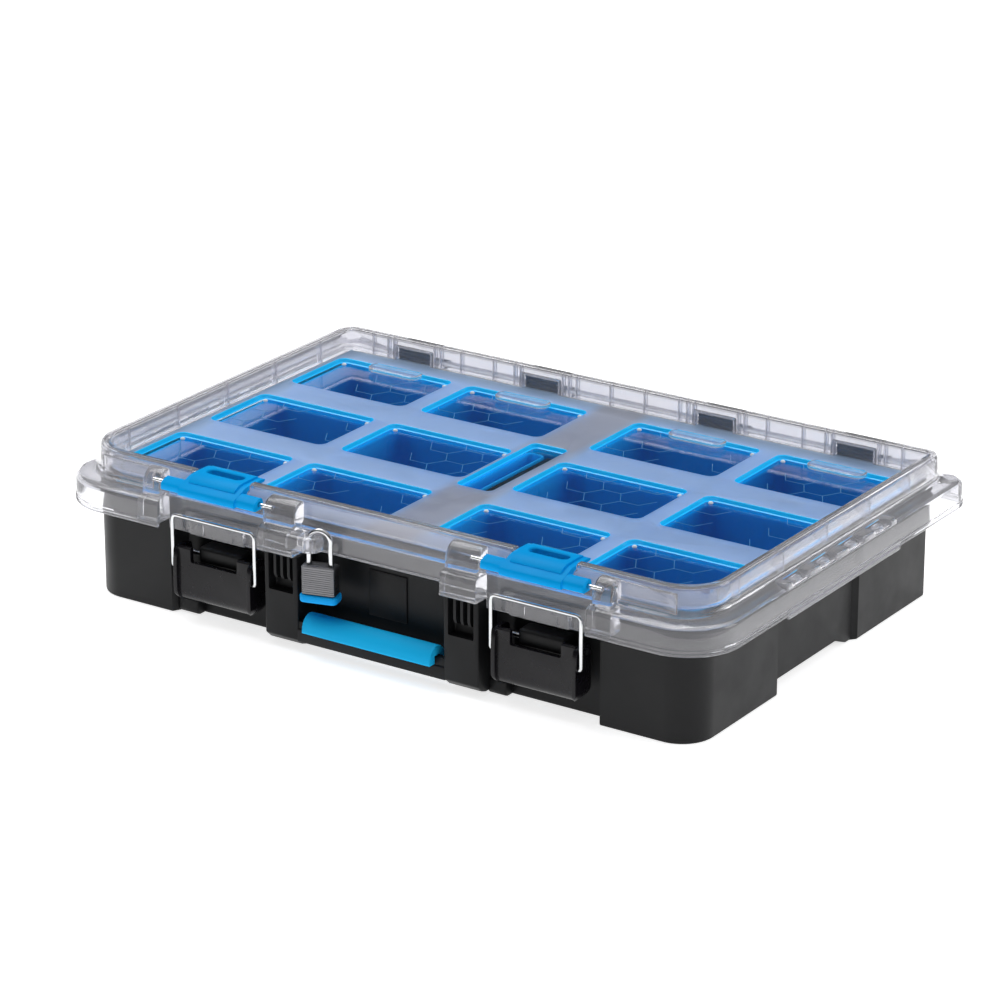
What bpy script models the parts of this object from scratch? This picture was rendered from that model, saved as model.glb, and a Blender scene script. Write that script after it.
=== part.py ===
"""Parts organizer: a flat stackable case with a clear lid, lift-out bins, wire draw latches and a padlock.

Metres, +Z up. The long side runs along X, the latches face -Y and the hinges are at +Y.
The origin is on the floor, at the middle of the whole object's box.
"""

import math

import bmesh
import bpy
from mathutils import Matrix, Vector

GAP = 0.0003            # clearance between pieces that move or lift out
WELD = 0.001            # a joined piece runs this far into its neighbour

# ---- driving dimensions (metres) ----
LID_X = 0.2750          # half width of the lid's skirt
LID_Y = 0.1823          # half depth of the lid's skirt
LID_R = 0.041           # radius of the skirt's front corners
LID_R_BACK = 0.0155     # and of its back corners
SKIRT_Z = 0.0703        # lower edge of the skirt
BOSS_LOW = 0.0725       # lower edge of the lobes beside the latches
BOSS_TOP = 0.1080       # top of the lobes, where they meet the stacking rim
BOSS_SHOULDER = 0.0970  # and where their rounding starts
BOSS_ROUND_Y = 0.0100
BOSS_ROUND_Z = 0.0110
BOSS_INNER = 0.0615     # nearest end of the inner lobes to the middle
BOSS_OUTER = 0.1980     # furthest end of the outer lobes
BOSS_HOLLOW_Y = -0.1670  # they are hollow behind this, up to BOSS_HOLLOW_Z
BOSS_HOLLOW_Z = 0.0892
SHOULDER_Z = 0.0905
RIM_X = 0.2620
RIM_Y = 0.1650
RIM_R = 0.036
RIM_R_BACK = 0.0130
RIM_WIDTH = 0.009       # the stacking rim is a hollow channel this wide
LID_TOP = 0.1120
PANEL_TOP = 0.0947
PANEL_UNDER = 0.0922
CLEAR_WALL = 0.0024
PANE_UNDER = 0.0890
PANE_TOP = 0.0909
FRONT_SETBACK = -0.1676  # front face of the lid between the corners
FRONT_WALL_LOW = 0.0770
LATCH_WALL_LOW = 0.0655
CATCH_HALF = 0.0240
SIDE_BOSS_HALF = 0.0780
SIDE_BOSS_TOP = 0.0932
SIDE_APRON_LOW = 0.0680
WINDOW_EDGE = 0.0018    # thickness of the pan round each window
WINDOW_X = (0.0745, 0.1954)
WINDOW_HALF_X = (0.0534, 0.0520)
WINDOW_R = 0.0065
CENTRE_WINDOW = (-0.0030, 0.0065, 0.0148, 0.0515, 0.005)
WINDOW_ROWS = (-0.1003, 0.0012, 0.1027)
WINDOW_HALF_Y = 0.0345

BASE_X = 0.2518
BASE_X_FRONT = 0.2548   # the front corners stand a little wider
BASE_BACK = 0.1634
BASE_FRONT = -0.1655    # front corners of the base
BASE_RECESS = -0.1532   # front wall between the front corners
BASE_R = 0.025
BASE_R_BACK = 0.0040
STEP_X = (0.1740, 0.1810)  # the front wall slopes out to the corners between these
BASE_TOP = 0.0880
BASE_WALL = 0.0025
FLOOR = 0.0112          # the bins stand this high, on a floor with ribs under it
FLOOR_UNDER = 0.0086
RIB = 0.0030
RIBS_ACROSS = (-0.132, 0.0, 0.132)
RIBS_ALONG = (-0.050, 0.052)
RIB_UNDER = 0.0006      # the ribs stop this far above the ground
FOOT_PAD = (0.040, 0.025)
CENTRE_RIB_X = (-0.0020, 0.0120)  # divider between the middle bins, beside the narrow tray
CENTRE_RIB_Y = (-0.0490, 0.0510)
CENTRE_RIB_TOP = 0.0870
SIDE_INSET = 0.0035     # the middle of each side wall steps in
SIDE_INSET_FRONT = -0.052
SIDE_INSET_BACK = 0.058
SIDE_NOTCH = 0.0070     # and its lower edge is raised

LATCH_X = 0.1355        # distance of each latch from the middle
LATCH_ZONE = 0.0437     # half width of the notch that holds a latch
BIN_SIZE_X = 0.1130
BIN_SIZE_Y = 0.1005
BIN_TOP = 0.0885
BIN_WALL = 0.0016
BIN_R = 0.010
BIN_DRAFT = 0.0012      # the bins narrow this much toward the floor
BIN_LIP = 0.0009        # and a lip this proud runs round the top
BIN_LIP_HEIGHT = 0.0035
BIN_FILLET = 0.0020
TRAY_X = (-0.0184, -0.0026)
TRAY_LENGTH = 0.0980
TRAY_R = 0.0045
BIN_COLUMNS = (-0.1888, -0.0752, 0.0752, 0.1888)
BIN_ROWS = (-0.0999, 0.0012, 0.1023)

HINGE_Y = 0.1795
HINGE_Z = 0.0840
HINGE_RADIUS = 0.0060
HINGE_PIN_R = 0.0024
HINGE_X = (-0.1935, -0.0765, 0.0765, 0.1935)
HINGE_HALF = 0.0160
LEAF_FRONT = 0.1590     # the leaf stands in the rim's channel
LEAF_THICKNESS = 0.0026
LEAF_LOW = 0.0886
LEAF_TOP = 0.1040
BASE_KNUCKLE_HALF = 0.0080

LATCH_FEET = ((-0.178, -0.161), (0.088, 0.103))  # small feet under the front wall
LEVER_AXIS_Y = -0.1635
LEVER_AXIS_Z = 0.0500
LEVER_HALF = 0.0340
LEVER_PIN_R = 0.0020
BRACKET_HALF = 0.0190
LEVER_FRONT = -0.1750
BAIL_Y = -0.1745
BAIL_AXIS_Z = 0.0410
BAIL_TOP_Z = 0.0800
BAIL_HALF = 0.0361
WIRE_R = 0.0015

STACK_AXIS_Y = -0.1740
STACK_AXIS_Z = 0.1030
STACK_BAR_HALF = 0.0408
STACK_PLATE_HALF = 0.0245
STACK_PIN_R = 0.0015
STACK_SLOT = (0.0155, 0.0042, 0.0040)  # half width, half depth and corner radius
STACK_SLOT_Y = -0.1585
STACK_PIN_HALF = 0.0520

PAD_X = -0.0500         # the shackle's long leg, through the lid's lug
PAD_Y = -0.1770
PAD_YAW = math.radians(15)
PAD_LEGS = 0.0160
PAD_ROD = 0.0019
PAD_BODY_TOP = 0.0700
PAD_BODY_BOTTOM = 0.0490
PAD_BUMPER_BOTTOM = 0.0430
LUG_Z = (0.0800, 0.0910)
LUG_ROOT = -0.0640
LUG_END = 0.0085
LUG_HOLE_R = 0.0034
PAD_HALF = (0.0125, 0.0060)
PAD_ARCH_Z = 0.0870
PLUG_R = 0.0041
PLUG_WAY_R = 0.0045

HANDLE_HALF = 0.0615    # from the middle to each pillar's inner face
PILLAR_OUT = 0.0900
PILLAR_FRONT = -0.1760
PILLAR_Z = (0.0030, 0.0715)
GRIP_Y = -0.1725
GRIP_Z = 0.0190
GRIP_R = 0.0095
GRIP_HALF = 0.0540
GRIP_CORE = (-0.0025, 0.0035)  # front and back of the core inside the grip
GRIP_CORE_TOP = 0.0045
HANDLE_BAR_Z = (0.0080, 0.0180)
HANDLE_BAR_DEPTH = 0.0085
LABEL_HALF = 0.0160     # blank raised plate between the pillars
LABEL_Z = (0.032, 0.066)
LABEL_PROUD = 0.0012
POCKET_HALF = 0.0105    # ribbed pocket near the top of each pillar
POCKET_LOW = 0.0430
POCKET_DEPTH = 0.0080
FIN_LOW = 0.0510
FIN_HALF = 0.0011
FIN_SPACING = 0.0058

CORNER_SEGMENTS = 6


def clear_scene():
    for old in list(bpy.data.objects):
        bpy.data.objects.remove(old, do_unlink=True)


def material(name, color, roughness, metallic=0.0, alpha=1.0, transmission=0.0):
    made = bpy.data.materials.new(name)
    made.use_nodes = True
    shader = made.node_tree.nodes["Principled BSDF"]
    shader.inputs["Base Color"].default_value = (*color, 1.0)
    shader.inputs["Roughness"].default_value = roughness
    shader.inputs["Metallic"].default_value = metallic
    shader.inputs["Alpha"].default_value = alpha
    shader.inputs["Transmission Weight"].default_value = transmission
    return made


clear_scene()
BLACK = material("black_plastic", (0.022, 0.022, 0.024), 0.5)
CLEAR = material("clear_plastic", (0.75, 0.76, 0.80), 0.15, alpha=0.45)
BIN_BLUE = material("bin_blue", (0.01, 0.12, 0.45), 0.3)
LATCH_BLUE = material("latch_blue", (0.0, 0.30, 0.85), 0.35)
GRIP_BLUE = material("grip_blue", (0.01, 0.33, 0.72), 0.7)
STEEL = material("bright_steel", (0.62, 0.63, 0.65), 0.25, metallic=1.0)
LAMINATE = material("laminated_steel", (0.50, 0.50, 0.50), 0.4, metallic=1.0)


# ---- shape helpers ----
def rounded_rect(
    half_x, half_y, radius, centre=(0.0, 0.0), segments=CORNER_SEGMENTS, back_radius=None
):
    """Corner arcs of a rectangle, counter-clockwise."""
    points = []
    for corner, (sx, sy) in enumerate(((1, 1), (-1, 1), (-1, -1), (1, -1))):
        r = back_radius if back_radius and sy > 0 else radius
        middle = (centre[0] + sx * (half_x - r), centre[1] + sy * (half_y - r))
        for step in range(segments + 1):
            angle = math.pi / 2 * (corner + step / segments)
            points.append((middle[0] + r * math.cos(angle), middle[1] + r * math.sin(angle)))
    return points


def finish_mesh(name, mesh_data, paint, smooth=True):
    mesh = bpy.data.meshes.new(name)
    bmesh.ops.recalc_face_normals(mesh_data, faces=mesh_data.faces)
    mesh_data.to_mesh(mesh)
    mesh_data.free()
    made = bpy.data.objects.new(name, mesh)
    bpy.context.scene.collection.objects.link(made)
    mesh.materials.append(paint)
    if smooth:
        mesh.shade_smooth()
        mesh.set_sharp_from_angle(angle=math.radians(35))
    return made


def loft(name, rings, paint, closed=False):
    """A closed solid through rings of 3-D points that all have the same count.

    Open lofts get a cap on the first and the last ring; closed ones join last to first.
    """
    mesh_data = bmesh.new()
    made = [[mesh_data.verts.new(point) for point in ring] for ring in rings]
    pairs = list(zip(made, made[1:]))
    if closed:
        pairs.append((made[-1], made[0]))
    for low, high in pairs:
        count = len(low)
        for index in range(count):
            after = (index + 1) % count
            mesh_data.faces.new((low[index], low[after], high[after], high[index]))
    if not closed:
        mesh_data.faces.new(made[0])
        mesh_data.faces.new(made[-1])
    return finish_mesh(name, mesh_data, paint)


def flat_ring(points, z):
    return [(x, y, z) for x, y in points]


def box(name, low, high, paint, bevel=0.0, segments=2):
    mesh_data = bmesh.new()
    bmesh.ops.create_cube(mesh_data, size=1.0)
    size = Vector(high) - Vector(low)
    middle = (Vector(high) + Vector(low)) / 2
    for vertex in mesh_data.verts:
        vertex.co = Vector(a * b for a, b in zip(vertex.co, size)) + middle
    if bevel:
        bmesh.ops.bevel(
            mesh_data, geom=mesh_data.edges[:], offset=bevel, segments=segments, affect="EDGES"
        )
    return finish_mesh(name, mesh_data, paint)


def prism_x(name, outline, x_low, x_high, paint):
    """An outline of (y, z) points, extruded along X."""
    ends = [[(x, y, z) for y, z in outline] for x in (x_low, x_high)]
    return loft(name, ends, paint)


def rod(name, start, end, radius, paint, sides=16):
    start, end = Vector(start), Vector(end)
    along = (end - start).normalized()
    side = along.orthogonal().normalized()
    other = along.cross(side)
    rings = []
    for centre in (start, end):
        ring = []
        for step in range(sides):
            angle = 2 * math.pi * step / sides
            offset = side * math.cos(angle) + other * math.sin(angle)
            ring.append(centre + radius * offset)
        rings.append(ring)
    return loft(name, rings, paint)


def tube_path(name, points, radius, paint, sides=10):
    """A round bar along a list of points, mitred at each one."""
    points = [Vector(point) for point in points]
    normal = (points[1] - points[0]).cross(points[2] - points[1])
    index = 1
    while normal.length < 1e-9:
        index += 1
        normal = (points[index] - points[index - 1]).cross(points[index + 1] - points[index])
    normal.normalize()
    rings = []
    for index, point in enumerate(points):
        before = points[max(index - 1, 0)]
        after = points[min(index + 1, len(points) - 1)]
        if index in (0, len(points) - 1):
            along = (after - before).normalized()
            stretch = 1.0
        else:
            first = (point - before).normalized()
            second = (after - point).normalized()
            along = (first + second).normalized()
            stretch = 1.0 / max(along.dot(first), 0.3)
        in_plane = normal.cross(along)
        ring = []
        for step in range(sides):
            angle = 2 * math.pi * (step + 0.5) / sides
            offset = in_plane * math.cos(angle) * stretch + normal * math.sin(angle)
            ring.append(point + radius * offset)
        rings.append(ring)
    return loft(name, rings, paint)


def helper(thing):
    thing.hide_render = True
    thing.display_type = "WIRE"
    return thing


def join_in(target, *pieces):
    for piece in pieces:
        modifier = target.modifiers.new("join_" + piece.name, "BOOLEAN")
        modifier.operation = "UNION"
        modifier.solver = "EXACT"
        modifier.object = helper(piece)


def cut_out(target, *pieces):
    for piece in pieces:
        modifier = target.modifiers.new("cut_" + piece.name, "BOOLEAN")
        modifier.operation = "DIFFERENCE"
        modifier.solver = "EXACT"
        modifier.object = helper(piece)


def pivot_at(thing, point):
    """Moves the object's origin to a point on its joint's axis."""
    thing.data.transform(Matrix.Translation(-Vector(point)))
    thing.location = point


def hang_on(child, parent):
    child.parent = parent
    child.matrix_parent_inverse = Matrix.Translation(-parent.location)


def sides_of(name, half):
    return ((f"{name}_left", -half), (f"{name}_right", half))


# ---- base ----
def base_outline(inset, front_inset=None):
    """Plan of the base: proud front corners, a recessed front wall and stepped sides."""
    front_inset = inset if front_inset is None else front_inset
    half_x = BASE_X - inset
    back = BASE_BACK - inset
    front = BASE_FRONT + front_inset
    recess = BASE_RECESS + front_inset
    radius = BASE_R - inset
    back_radius = BASE_R_BACK - inset
    slope = 0.004
    right = []

    def arc(cx, cy, radius, start):
        for step in range(CORNER_SEGMENTS + 1):
            angle = math.radians(start + 90 * step / CORNER_SEGMENTS)
            right.append((cx + radius * math.cos(angle), cy + radius * math.sin(angle)))

    half_front = BASE_X_FRONT - inset
    right.append((STEP_X[0] + 0.6 * front_inset, recess))
    right.append((STEP_X[1] + 0.6 * front_inset, front))
    arc(half_front - radius, front + radius, radius, -90)
    right.append((half_front, SIDE_INSET_FRONT - slope))
    right.append((half_x - SIDE_INSET, SIDE_INSET_FRONT))
    right.append((half_x - SIDE_INSET, SIDE_INSET_BACK))
    right.append((half_x, SIDE_INSET_BACK + slope))
    arc(half_x - back_radius, back - back_radius, back_radius, 0)
    return right + [(-x, y) for x, y in reversed(right)]


def pillar_parts(name, side):
    """One of the two uprights beside the handle, with a ribbed pocket near its top."""
    inner, outer = sorted((side * HANDLE_HALF, side * PILLAR_OUT))
    low, high = PILLAR_Z
    outline = [
        (BASE_RECESS + WELD, low),
        (PILLAR_FRONT + 0.010, low),
        (PILLAR_FRONT, low + 0.006),
        (PILLAR_FRONT, high),
        (BASE_RECESS + WELD, high),
    ]
    body = prism_x(name, outline, inner, outer, BLACK)
    middle = (inner + outer) / 2
    pocket = box(
        name + "_pocket",
        (middle - POCKET_HALF, PILLAR_FRONT - 0.002, POCKET_LOW),
        (middle + POCKET_HALF, PILLAR_FRONT + POCKET_DEPTH, high + 0.002),
        BLACK,
    )
    fins = []
    for index in (-1, 0, 1):
        x = middle + index * FIN_SPACING
        fins.append(
            box(
                f"{name}_fin{index + 1}",
                (x - FIN_HALF, PILLAR_FRONT + 0.0012, FIN_LOW),
                (x + FIN_HALF, PILLAR_FRONT + POCKET_DEPTH + 0.0020, high - 0.0004),
                BLACK,
            )
        )
    return body, pocket, fins


def make_base():
    outer, inner = base_outline(0.0), base_outline(BASE_WALL)
    foot = base_outline(0.0012)
    rings = [
        flat_ring(inner, FLOOR_UNDER),
        flat_ring(inner, 0.0),
        flat_ring(foot, 0.0),
        flat_ring(outer, 0.0015),
        flat_ring(outer, BASE_TOP - 0.0008),
        flat_ring(base_outline(0.0008), BASE_TOP),
        flat_ring(inner, BASE_TOP),
        flat_ring(inner, FLOOR),
    ]
    base = loft("base_tub", rings, BLACK)
    for tag, side in (("left", -1), ("right", 1)):
        low, high = sorted((side * (BASE_X - 0.010), side * (BASE_X + 0.004)))
        outline = [
            (SIDE_INSET_FRONT, -0.002),
            (SIDE_INSET_FRONT + 0.001, SIDE_NOTCH),
            (SIDE_INSET_BACK - 0.022, SIDE_NOTCH),
            (SIDE_INSET_BACK, -0.002),
        ]
        cut_out(base, prism_x(f"side_notch_{tag}", outline, low, high, BLACK))
    ribs = []
    under, over = RIB_UNDER, FLOOR - WELD
    for index, x in enumerate(RIBS_ACROSS):
        low = (x - RIB / 2, BASE_RECESS + 0.002, under)
        high = (x + RIB / 2, BASE_BACK - WELD, over)
        ribs.append(box(f"rib_across_{index}", low, high, BLACK))
    half_x = BASE_X - 0.0138
    for index, y in enumerate(RIBS_ALONG):
        low, high = (-half_x, y - RIB / 2, under), (half_x, y + RIB / 2, over)
        ribs.append(box(f"rib_along_{index}", low, high, BLACK))
    pad_x, pad_y = FOOT_PAD
    ribs.append(box("foot_pad", (-pad_x, -pad_y, 0.0), (pad_x, pad_y, over), BLACK))
    join_in(base, *ribs)

    for tag, side in (("left", -1), ("right", 1)):
        body, pocket, fins = pillar_parts(f"pillar_{tag}", side)
        cut_out(body, pocket)
        join_in(body, *fins)
        join_in(base, body)

    bar_low, bar_high = HANDLE_BAR_Z
    bar = box(
        "handle_bar",
        (-HANDLE_HALF - 0.002, PILLAR_FRONT, bar_low),
        (HANDLE_HALF + 0.002, PILLAR_FRONT + HANDLE_BAR_DEPTH, bar_high),
        BLACK,
    )
    core = box(
        "handle_core",
        (-HANDLE_HALF - 0.002, GRIP_Y + GRIP_CORE[0], bar_high - 0.002),
        (HANDLE_HALF + 0.002, GRIP_Y + GRIP_CORE[1], GRIP_Z + GRIP_CORE_TOP),
        BLACK,
    )
    join_in(base, bar, core)
    relief = box(
        "label_relief",
        (-LABEL_HALF, BASE_RECESS - LABEL_PROUD, LABEL_Z[0]),
        (LABEL_HALF, BASE_RECESS + WELD, LABEL_Z[1]),
        BLACK,
    )
    join_in(base, relief)

    for tag, (low, high) in zip(("left", "right"), LATCH_FEET):
        outline = [
            (BASE_RECESS + WELD, 0.0),
            (-0.1600, 0.0),
            (-0.1620, 0.003),
            (-0.1620, 0.012),
            (BASE_RECESS + WELD, 0.016),
        ]
        join_in(base, prism_x(f"latch_foot_{tag}", outline, low, high, BLACK))

    for tag, centre in sides_of("bracket", LATCH_X):
        bracket = box(
            tag,
            (centre - BRACKET_HALF, LEVER_AXIS_Y - 0.0045, LEVER_AXIS_Z - 0.0058),
            (centre + BRACKET_HALF, BASE_RECESS + WELD, LEVER_AXIS_Z + 0.0068),
            BLACK,
            bevel=0.0008,
            segments=1,
        )
        join_in(base, bracket)
        hole = rod(
            tag + "_hole",
            (centre - LEVER_HALF, LEVER_AXIS_Y, LEVER_AXIS_Z),
            (centre + LEVER_HALF, LEVER_AXIS_Y, LEVER_AXIS_Z),
            LEVER_PIN_R + GAP,
            BLACK,
        )
        cut_out(base, hole)

    for index, x in enumerate(HINGE_X):
        arm_low, arm_high = x - BASE_KNUCKLE_HALF, x + BASE_KNUCKLE_HALF
        arm = box(
            f"hinge_arm_{index + 1}",
            (arm_low, BASE_BACK - 0.001, HINGE_Z - 0.0050),
            (arm_high, HINGE_Y, HINGE_Z + 0.0020),
            BLACK,
        )
        gusset = prism_x(
            f"hinge_gusset_{index + 1}",
            [
                (BASE_BACK - 0.001, HINGE_Z - 0.022),
                (BASE_BACK + 0.001, HINGE_Z - 0.022),
                (HINGE_Y - 0.002, HINGE_Z - 0.0048),
                (BASE_BACK - 0.001, HINGE_Z - 0.0048 + 0.001),
            ],
            x - 0.0020,
            x + 0.0020,
            BLACK,
        )
        knuckle = rod(
            f"hinge_knuckle_{index + 1}",
            (arm_low, HINGE_Y, HINGE_Z),
            (arm_high, HINGE_Y, HINGE_Z),
            HINGE_RADIUS,
            BLACK,
            sides=20,
        )
        join_in(base, arm, gusset, knuckle)
        hole = rod(
            f"hinge_hole_{index + 1}",
            (x - HINGE_HALF, HINGE_Y, HINGE_Z),
            (x + HINGE_HALF, HINGE_Y, HINGE_Z),
            HINGE_PIN_R + GAP,
            BLACK,
        )
        cut_out(base, hole)

    spine = box(
        "centre_rib",
        (CENTRE_RIB_X[0], CENTRE_RIB_Y[0], FLOOR - WELD),
        (CENTRE_RIB_X[1], CENTRE_RIB_Y[1], CENTRE_RIB_TOP),
        BLACK,
    )
    join_in(base, spine)
    return base


def make_grip():
    """Half-round soft sleeve over the handle's core."""
    outline = []
    steps = 14
    for step in range(steps + 1):
        angle = math.pi * step / steps
        outline.append(
            (GRIP_Y - GRIP_R * math.cos(angle), GRIP_Z + 0.0014 + 1.12 * GRIP_R * math.sin(angle))
        )
    low = GRIP_Z - 0.0006
    clearance = GAP + 0.0001
    core_front = GRIP_Y + GRIP_CORE[0] - clearance
    core_back = GRIP_Y + GRIP_CORE[1] + clearance
    core_top = GRIP_Z + GRIP_CORE_TOP + clearance
    outline += [
        (GRIP_Y + GRIP_R, low),
        (core_back, low),
        (core_back, core_top),
        (core_front, core_top),
        (core_front, low),
        (GRIP_Y - GRIP_R, low),
    ]
    return prism_x("handle_grip", outline, -GRIP_HALF, GRIP_HALF, GRIP_BLUE)


# ---- bins ----
def tray(name, centre, size_x, size_y, radius):
    """An open bin with drafted walls, a lip round its top and a rounded floor."""
    half_x, half_y = size_x / 2, size_y / 2
    low = FLOOR + GAP
    inset = BIN_WALL + BIN_DRAFT
    inner_radius = radius - BIN_WALL
    levels = (
        (BIN_DRAFT + 0.0010, radius, low),
        (BIN_DRAFT, radius, low + 0.0010),
        (BIN_LIP, radius, BIN_TOP - BIN_LIP_HEIGHT - 0.0005),
        (0.0, radius, BIN_TOP - BIN_LIP_HEIGHT),
        (0.0, radius, BIN_TOP),
        (BIN_WALL, inner_radius, BIN_TOP),
        (inset, inner_radius, low + BIN_WALL + BIN_FILLET),
        (inset + BIN_FILLET, inner_radius, low + BIN_WALL),
    )
    rings = []
    for shrink, corner, z in levels:
        plan = rounded_rect(half_x - shrink, half_y - shrink, corner, centre, 3)
        rings.append(flat_ring(plan, z))
    return loft(name, rings, BIN_BLUE)


def make_bins():
    for row, y in enumerate(BIN_ROWS):
        for column, x in enumerate(BIN_COLUMNS):
            name = f"bin_row{row + 1}_col{column + 1}"
            tray(name, (x, y), BIN_SIZE_X, BIN_SIZE_Y, BIN_R)
    low, high = TRAY_X
    tray("centre_tray", ((low + high) / 2, BIN_ROWS[1]), high - low, TRAY_LENGTH, TRAY_R)


# ---- lid ----
def lid_rings():
    """Section of the lid shell as (half x, half y, front radius, back radius, z), outside first."""
    wall = CLEAR_WALL
    rim_in_x, rim_in_y = RIM_X - RIM_WIDTH, RIM_Y - RIM_WIDTH
    top = LID_TOP
    in_r, in_b = RIM_R - RIM_WIDTH, RIM_R_BACK - RIM_WIDTH
    out_r, out_b = RIM_R, RIM_R_BACK
    return [
        (rim_in_x - 0.0005, rim_in_y - 0.0005, in_r - 0.0005, in_b - 0.0005, PANEL_TOP),
        (rim_in_x, rim_in_y, in_r, in_b, PANEL_TOP + 0.0008),
        (rim_in_x + 0.0005, rim_in_y + 0.0005, in_r + 0.0005, in_b + 0.0005, top - 0.0018),
        (rim_in_x + 0.0022, rim_in_y + 0.0022, in_r + 0.0020, in_b + 0.0020, top),
        (RIM_X - 0.0024, RIM_Y - 0.0024, out_r - 0.0024, out_b - 0.0024, top),
        (RIM_X - 0.0005, RIM_Y - 0.0005, out_r - 0.0005, out_b - 0.0005, top - 0.0018),
        (RIM_X + 0.0003, RIM_Y + 0.0003, out_r, out_b, 0.0935),
        (RIM_X + 0.0020, RIM_Y + 0.0035, out_r + 0.002, out_b + 0.001, 0.0914),
        (LID_X - 0.0030, LID_Y - 0.0030, LID_R - 0.003, LID_R_BACK - 0.003, SHOULDER_Z - 0.0004),
        (LID_X - 0.0005, LID_Y - 0.0005, LID_R, LID_R_BACK, 0.0872),
        (LID_X, LID_Y, LID_R, LID_R_BACK, SKIRT_Z),
        (LID_X - wall, LID_Y - wall, LID_R - wall, LID_R_BACK - wall, SKIRT_Z),
        (LID_X - wall - 0.0004, LID_Y - wall - 0.0004, LID_R - wall, LID_R_BACK - wall, 0.0860),
        (
            LID_X - wall - 0.0020,
            LID_Y - wall - 0.0020,
            LID_R - wall - 0.002,
            LID_R_BACK - wall - 0.002,
            0.0878,
        ),
        (RIM_X - 0.0006, RIM_Y + 0.0012, out_r, out_b - 0.001, 0.0888),
        (RIM_X - wall, RIM_Y - wall, out_r - wall, out_b - wall, 0.0910),
        (RIM_X - wall - 0.0004, RIM_Y - wall - 0.0004, out_r - wall, out_b - wall, top - wall),
        (rim_in_x + wall + 0.0004, rim_in_y + wall + 0.0004, in_r + wall, in_b + wall, top - wall),
        (rim_in_x + wall, rim_in_y + wall, in_r + wall, in_b + wall, PANEL_UNDER),
        (rim_in_x - 0.002, rim_in_y - 0.002, in_r - 0.002, in_b - 0.002, PANEL_UNDER),
    ]


def windows():
    """Clear panes sunk into the panel, one over each bin, as (middle x, middle y, half x, half y, radius)."""
    panes = []
    for y in WINDOW_ROWS:
        for side in (-1, 1):
            for x, half_x in zip(WINDOW_X, WINDOW_HALF_X):
                panes.append((side * x, y, half_x, WINDOW_HALF_Y, WINDOW_R))
    panes.append(CENTRE_WINDOW)
    return panes


def rounded_boss(name, x_low, x_high):
    """A lobe on the lid beside a latch, with a rounded top that meets the stacking rim."""
    back = -RIM_Y + 0.0020
    front = -LID_Y
    outline = [(BOSS_HOLLOW_Y, BOSS_LOW), (front, BOSS_LOW), (front, BOSS_SHOULDER)]
    for step in range(1, 6):
        angle = math.radians(180 - 18 * step)
        y = front + BOSS_ROUND_Y * (1 + math.cos(angle))
        outline.append((y, BOSS_SHOULDER + BOSS_ROUND_Z * math.sin(angle)))
    outline += [(back, BOSS_TOP), (back, BOSS_HOLLOW_Z), (BOSS_HOLLOW_Y, BOSS_HOLLOW_Z)]
    return prism_x(name, outline, x_low, x_high, CLEAR)


def lug_solid():
    """Padlock lug: a thick rounded tab on the side of the left latch's inner lobe."""
    outline = [(LUG_ROOT, PAD_Y + LUG_END), (LUG_ROOT, PAD_Y - LUG_END)]
    for step in range(9):
        angle = math.radians(-90 + 180 * step / 8)
        x = PAD_X + 0.0018 + LUG_END * math.cos(angle)
        outline.append((x, PAD_Y + LUG_END * math.sin(angle)))
    low, high = LUG_Z
    rings = []
    for shrink, z in ((0.0012, low), (0.0, low + 0.0012), (0.0, high - 0.002), (0.0018, high)):
        scale_x = 1 - shrink / 0.020
        scale_y = 1 - shrink / LUG_END
        rings.append(
            [
                (LUG_ROOT + (x - LUG_ROOT) * scale_x, PAD_Y + (y - PAD_Y) * scale_y, z)
                for x, y in outline
            ]
        )
    return loft("padlock_lug", rings, CLEAR)


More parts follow.
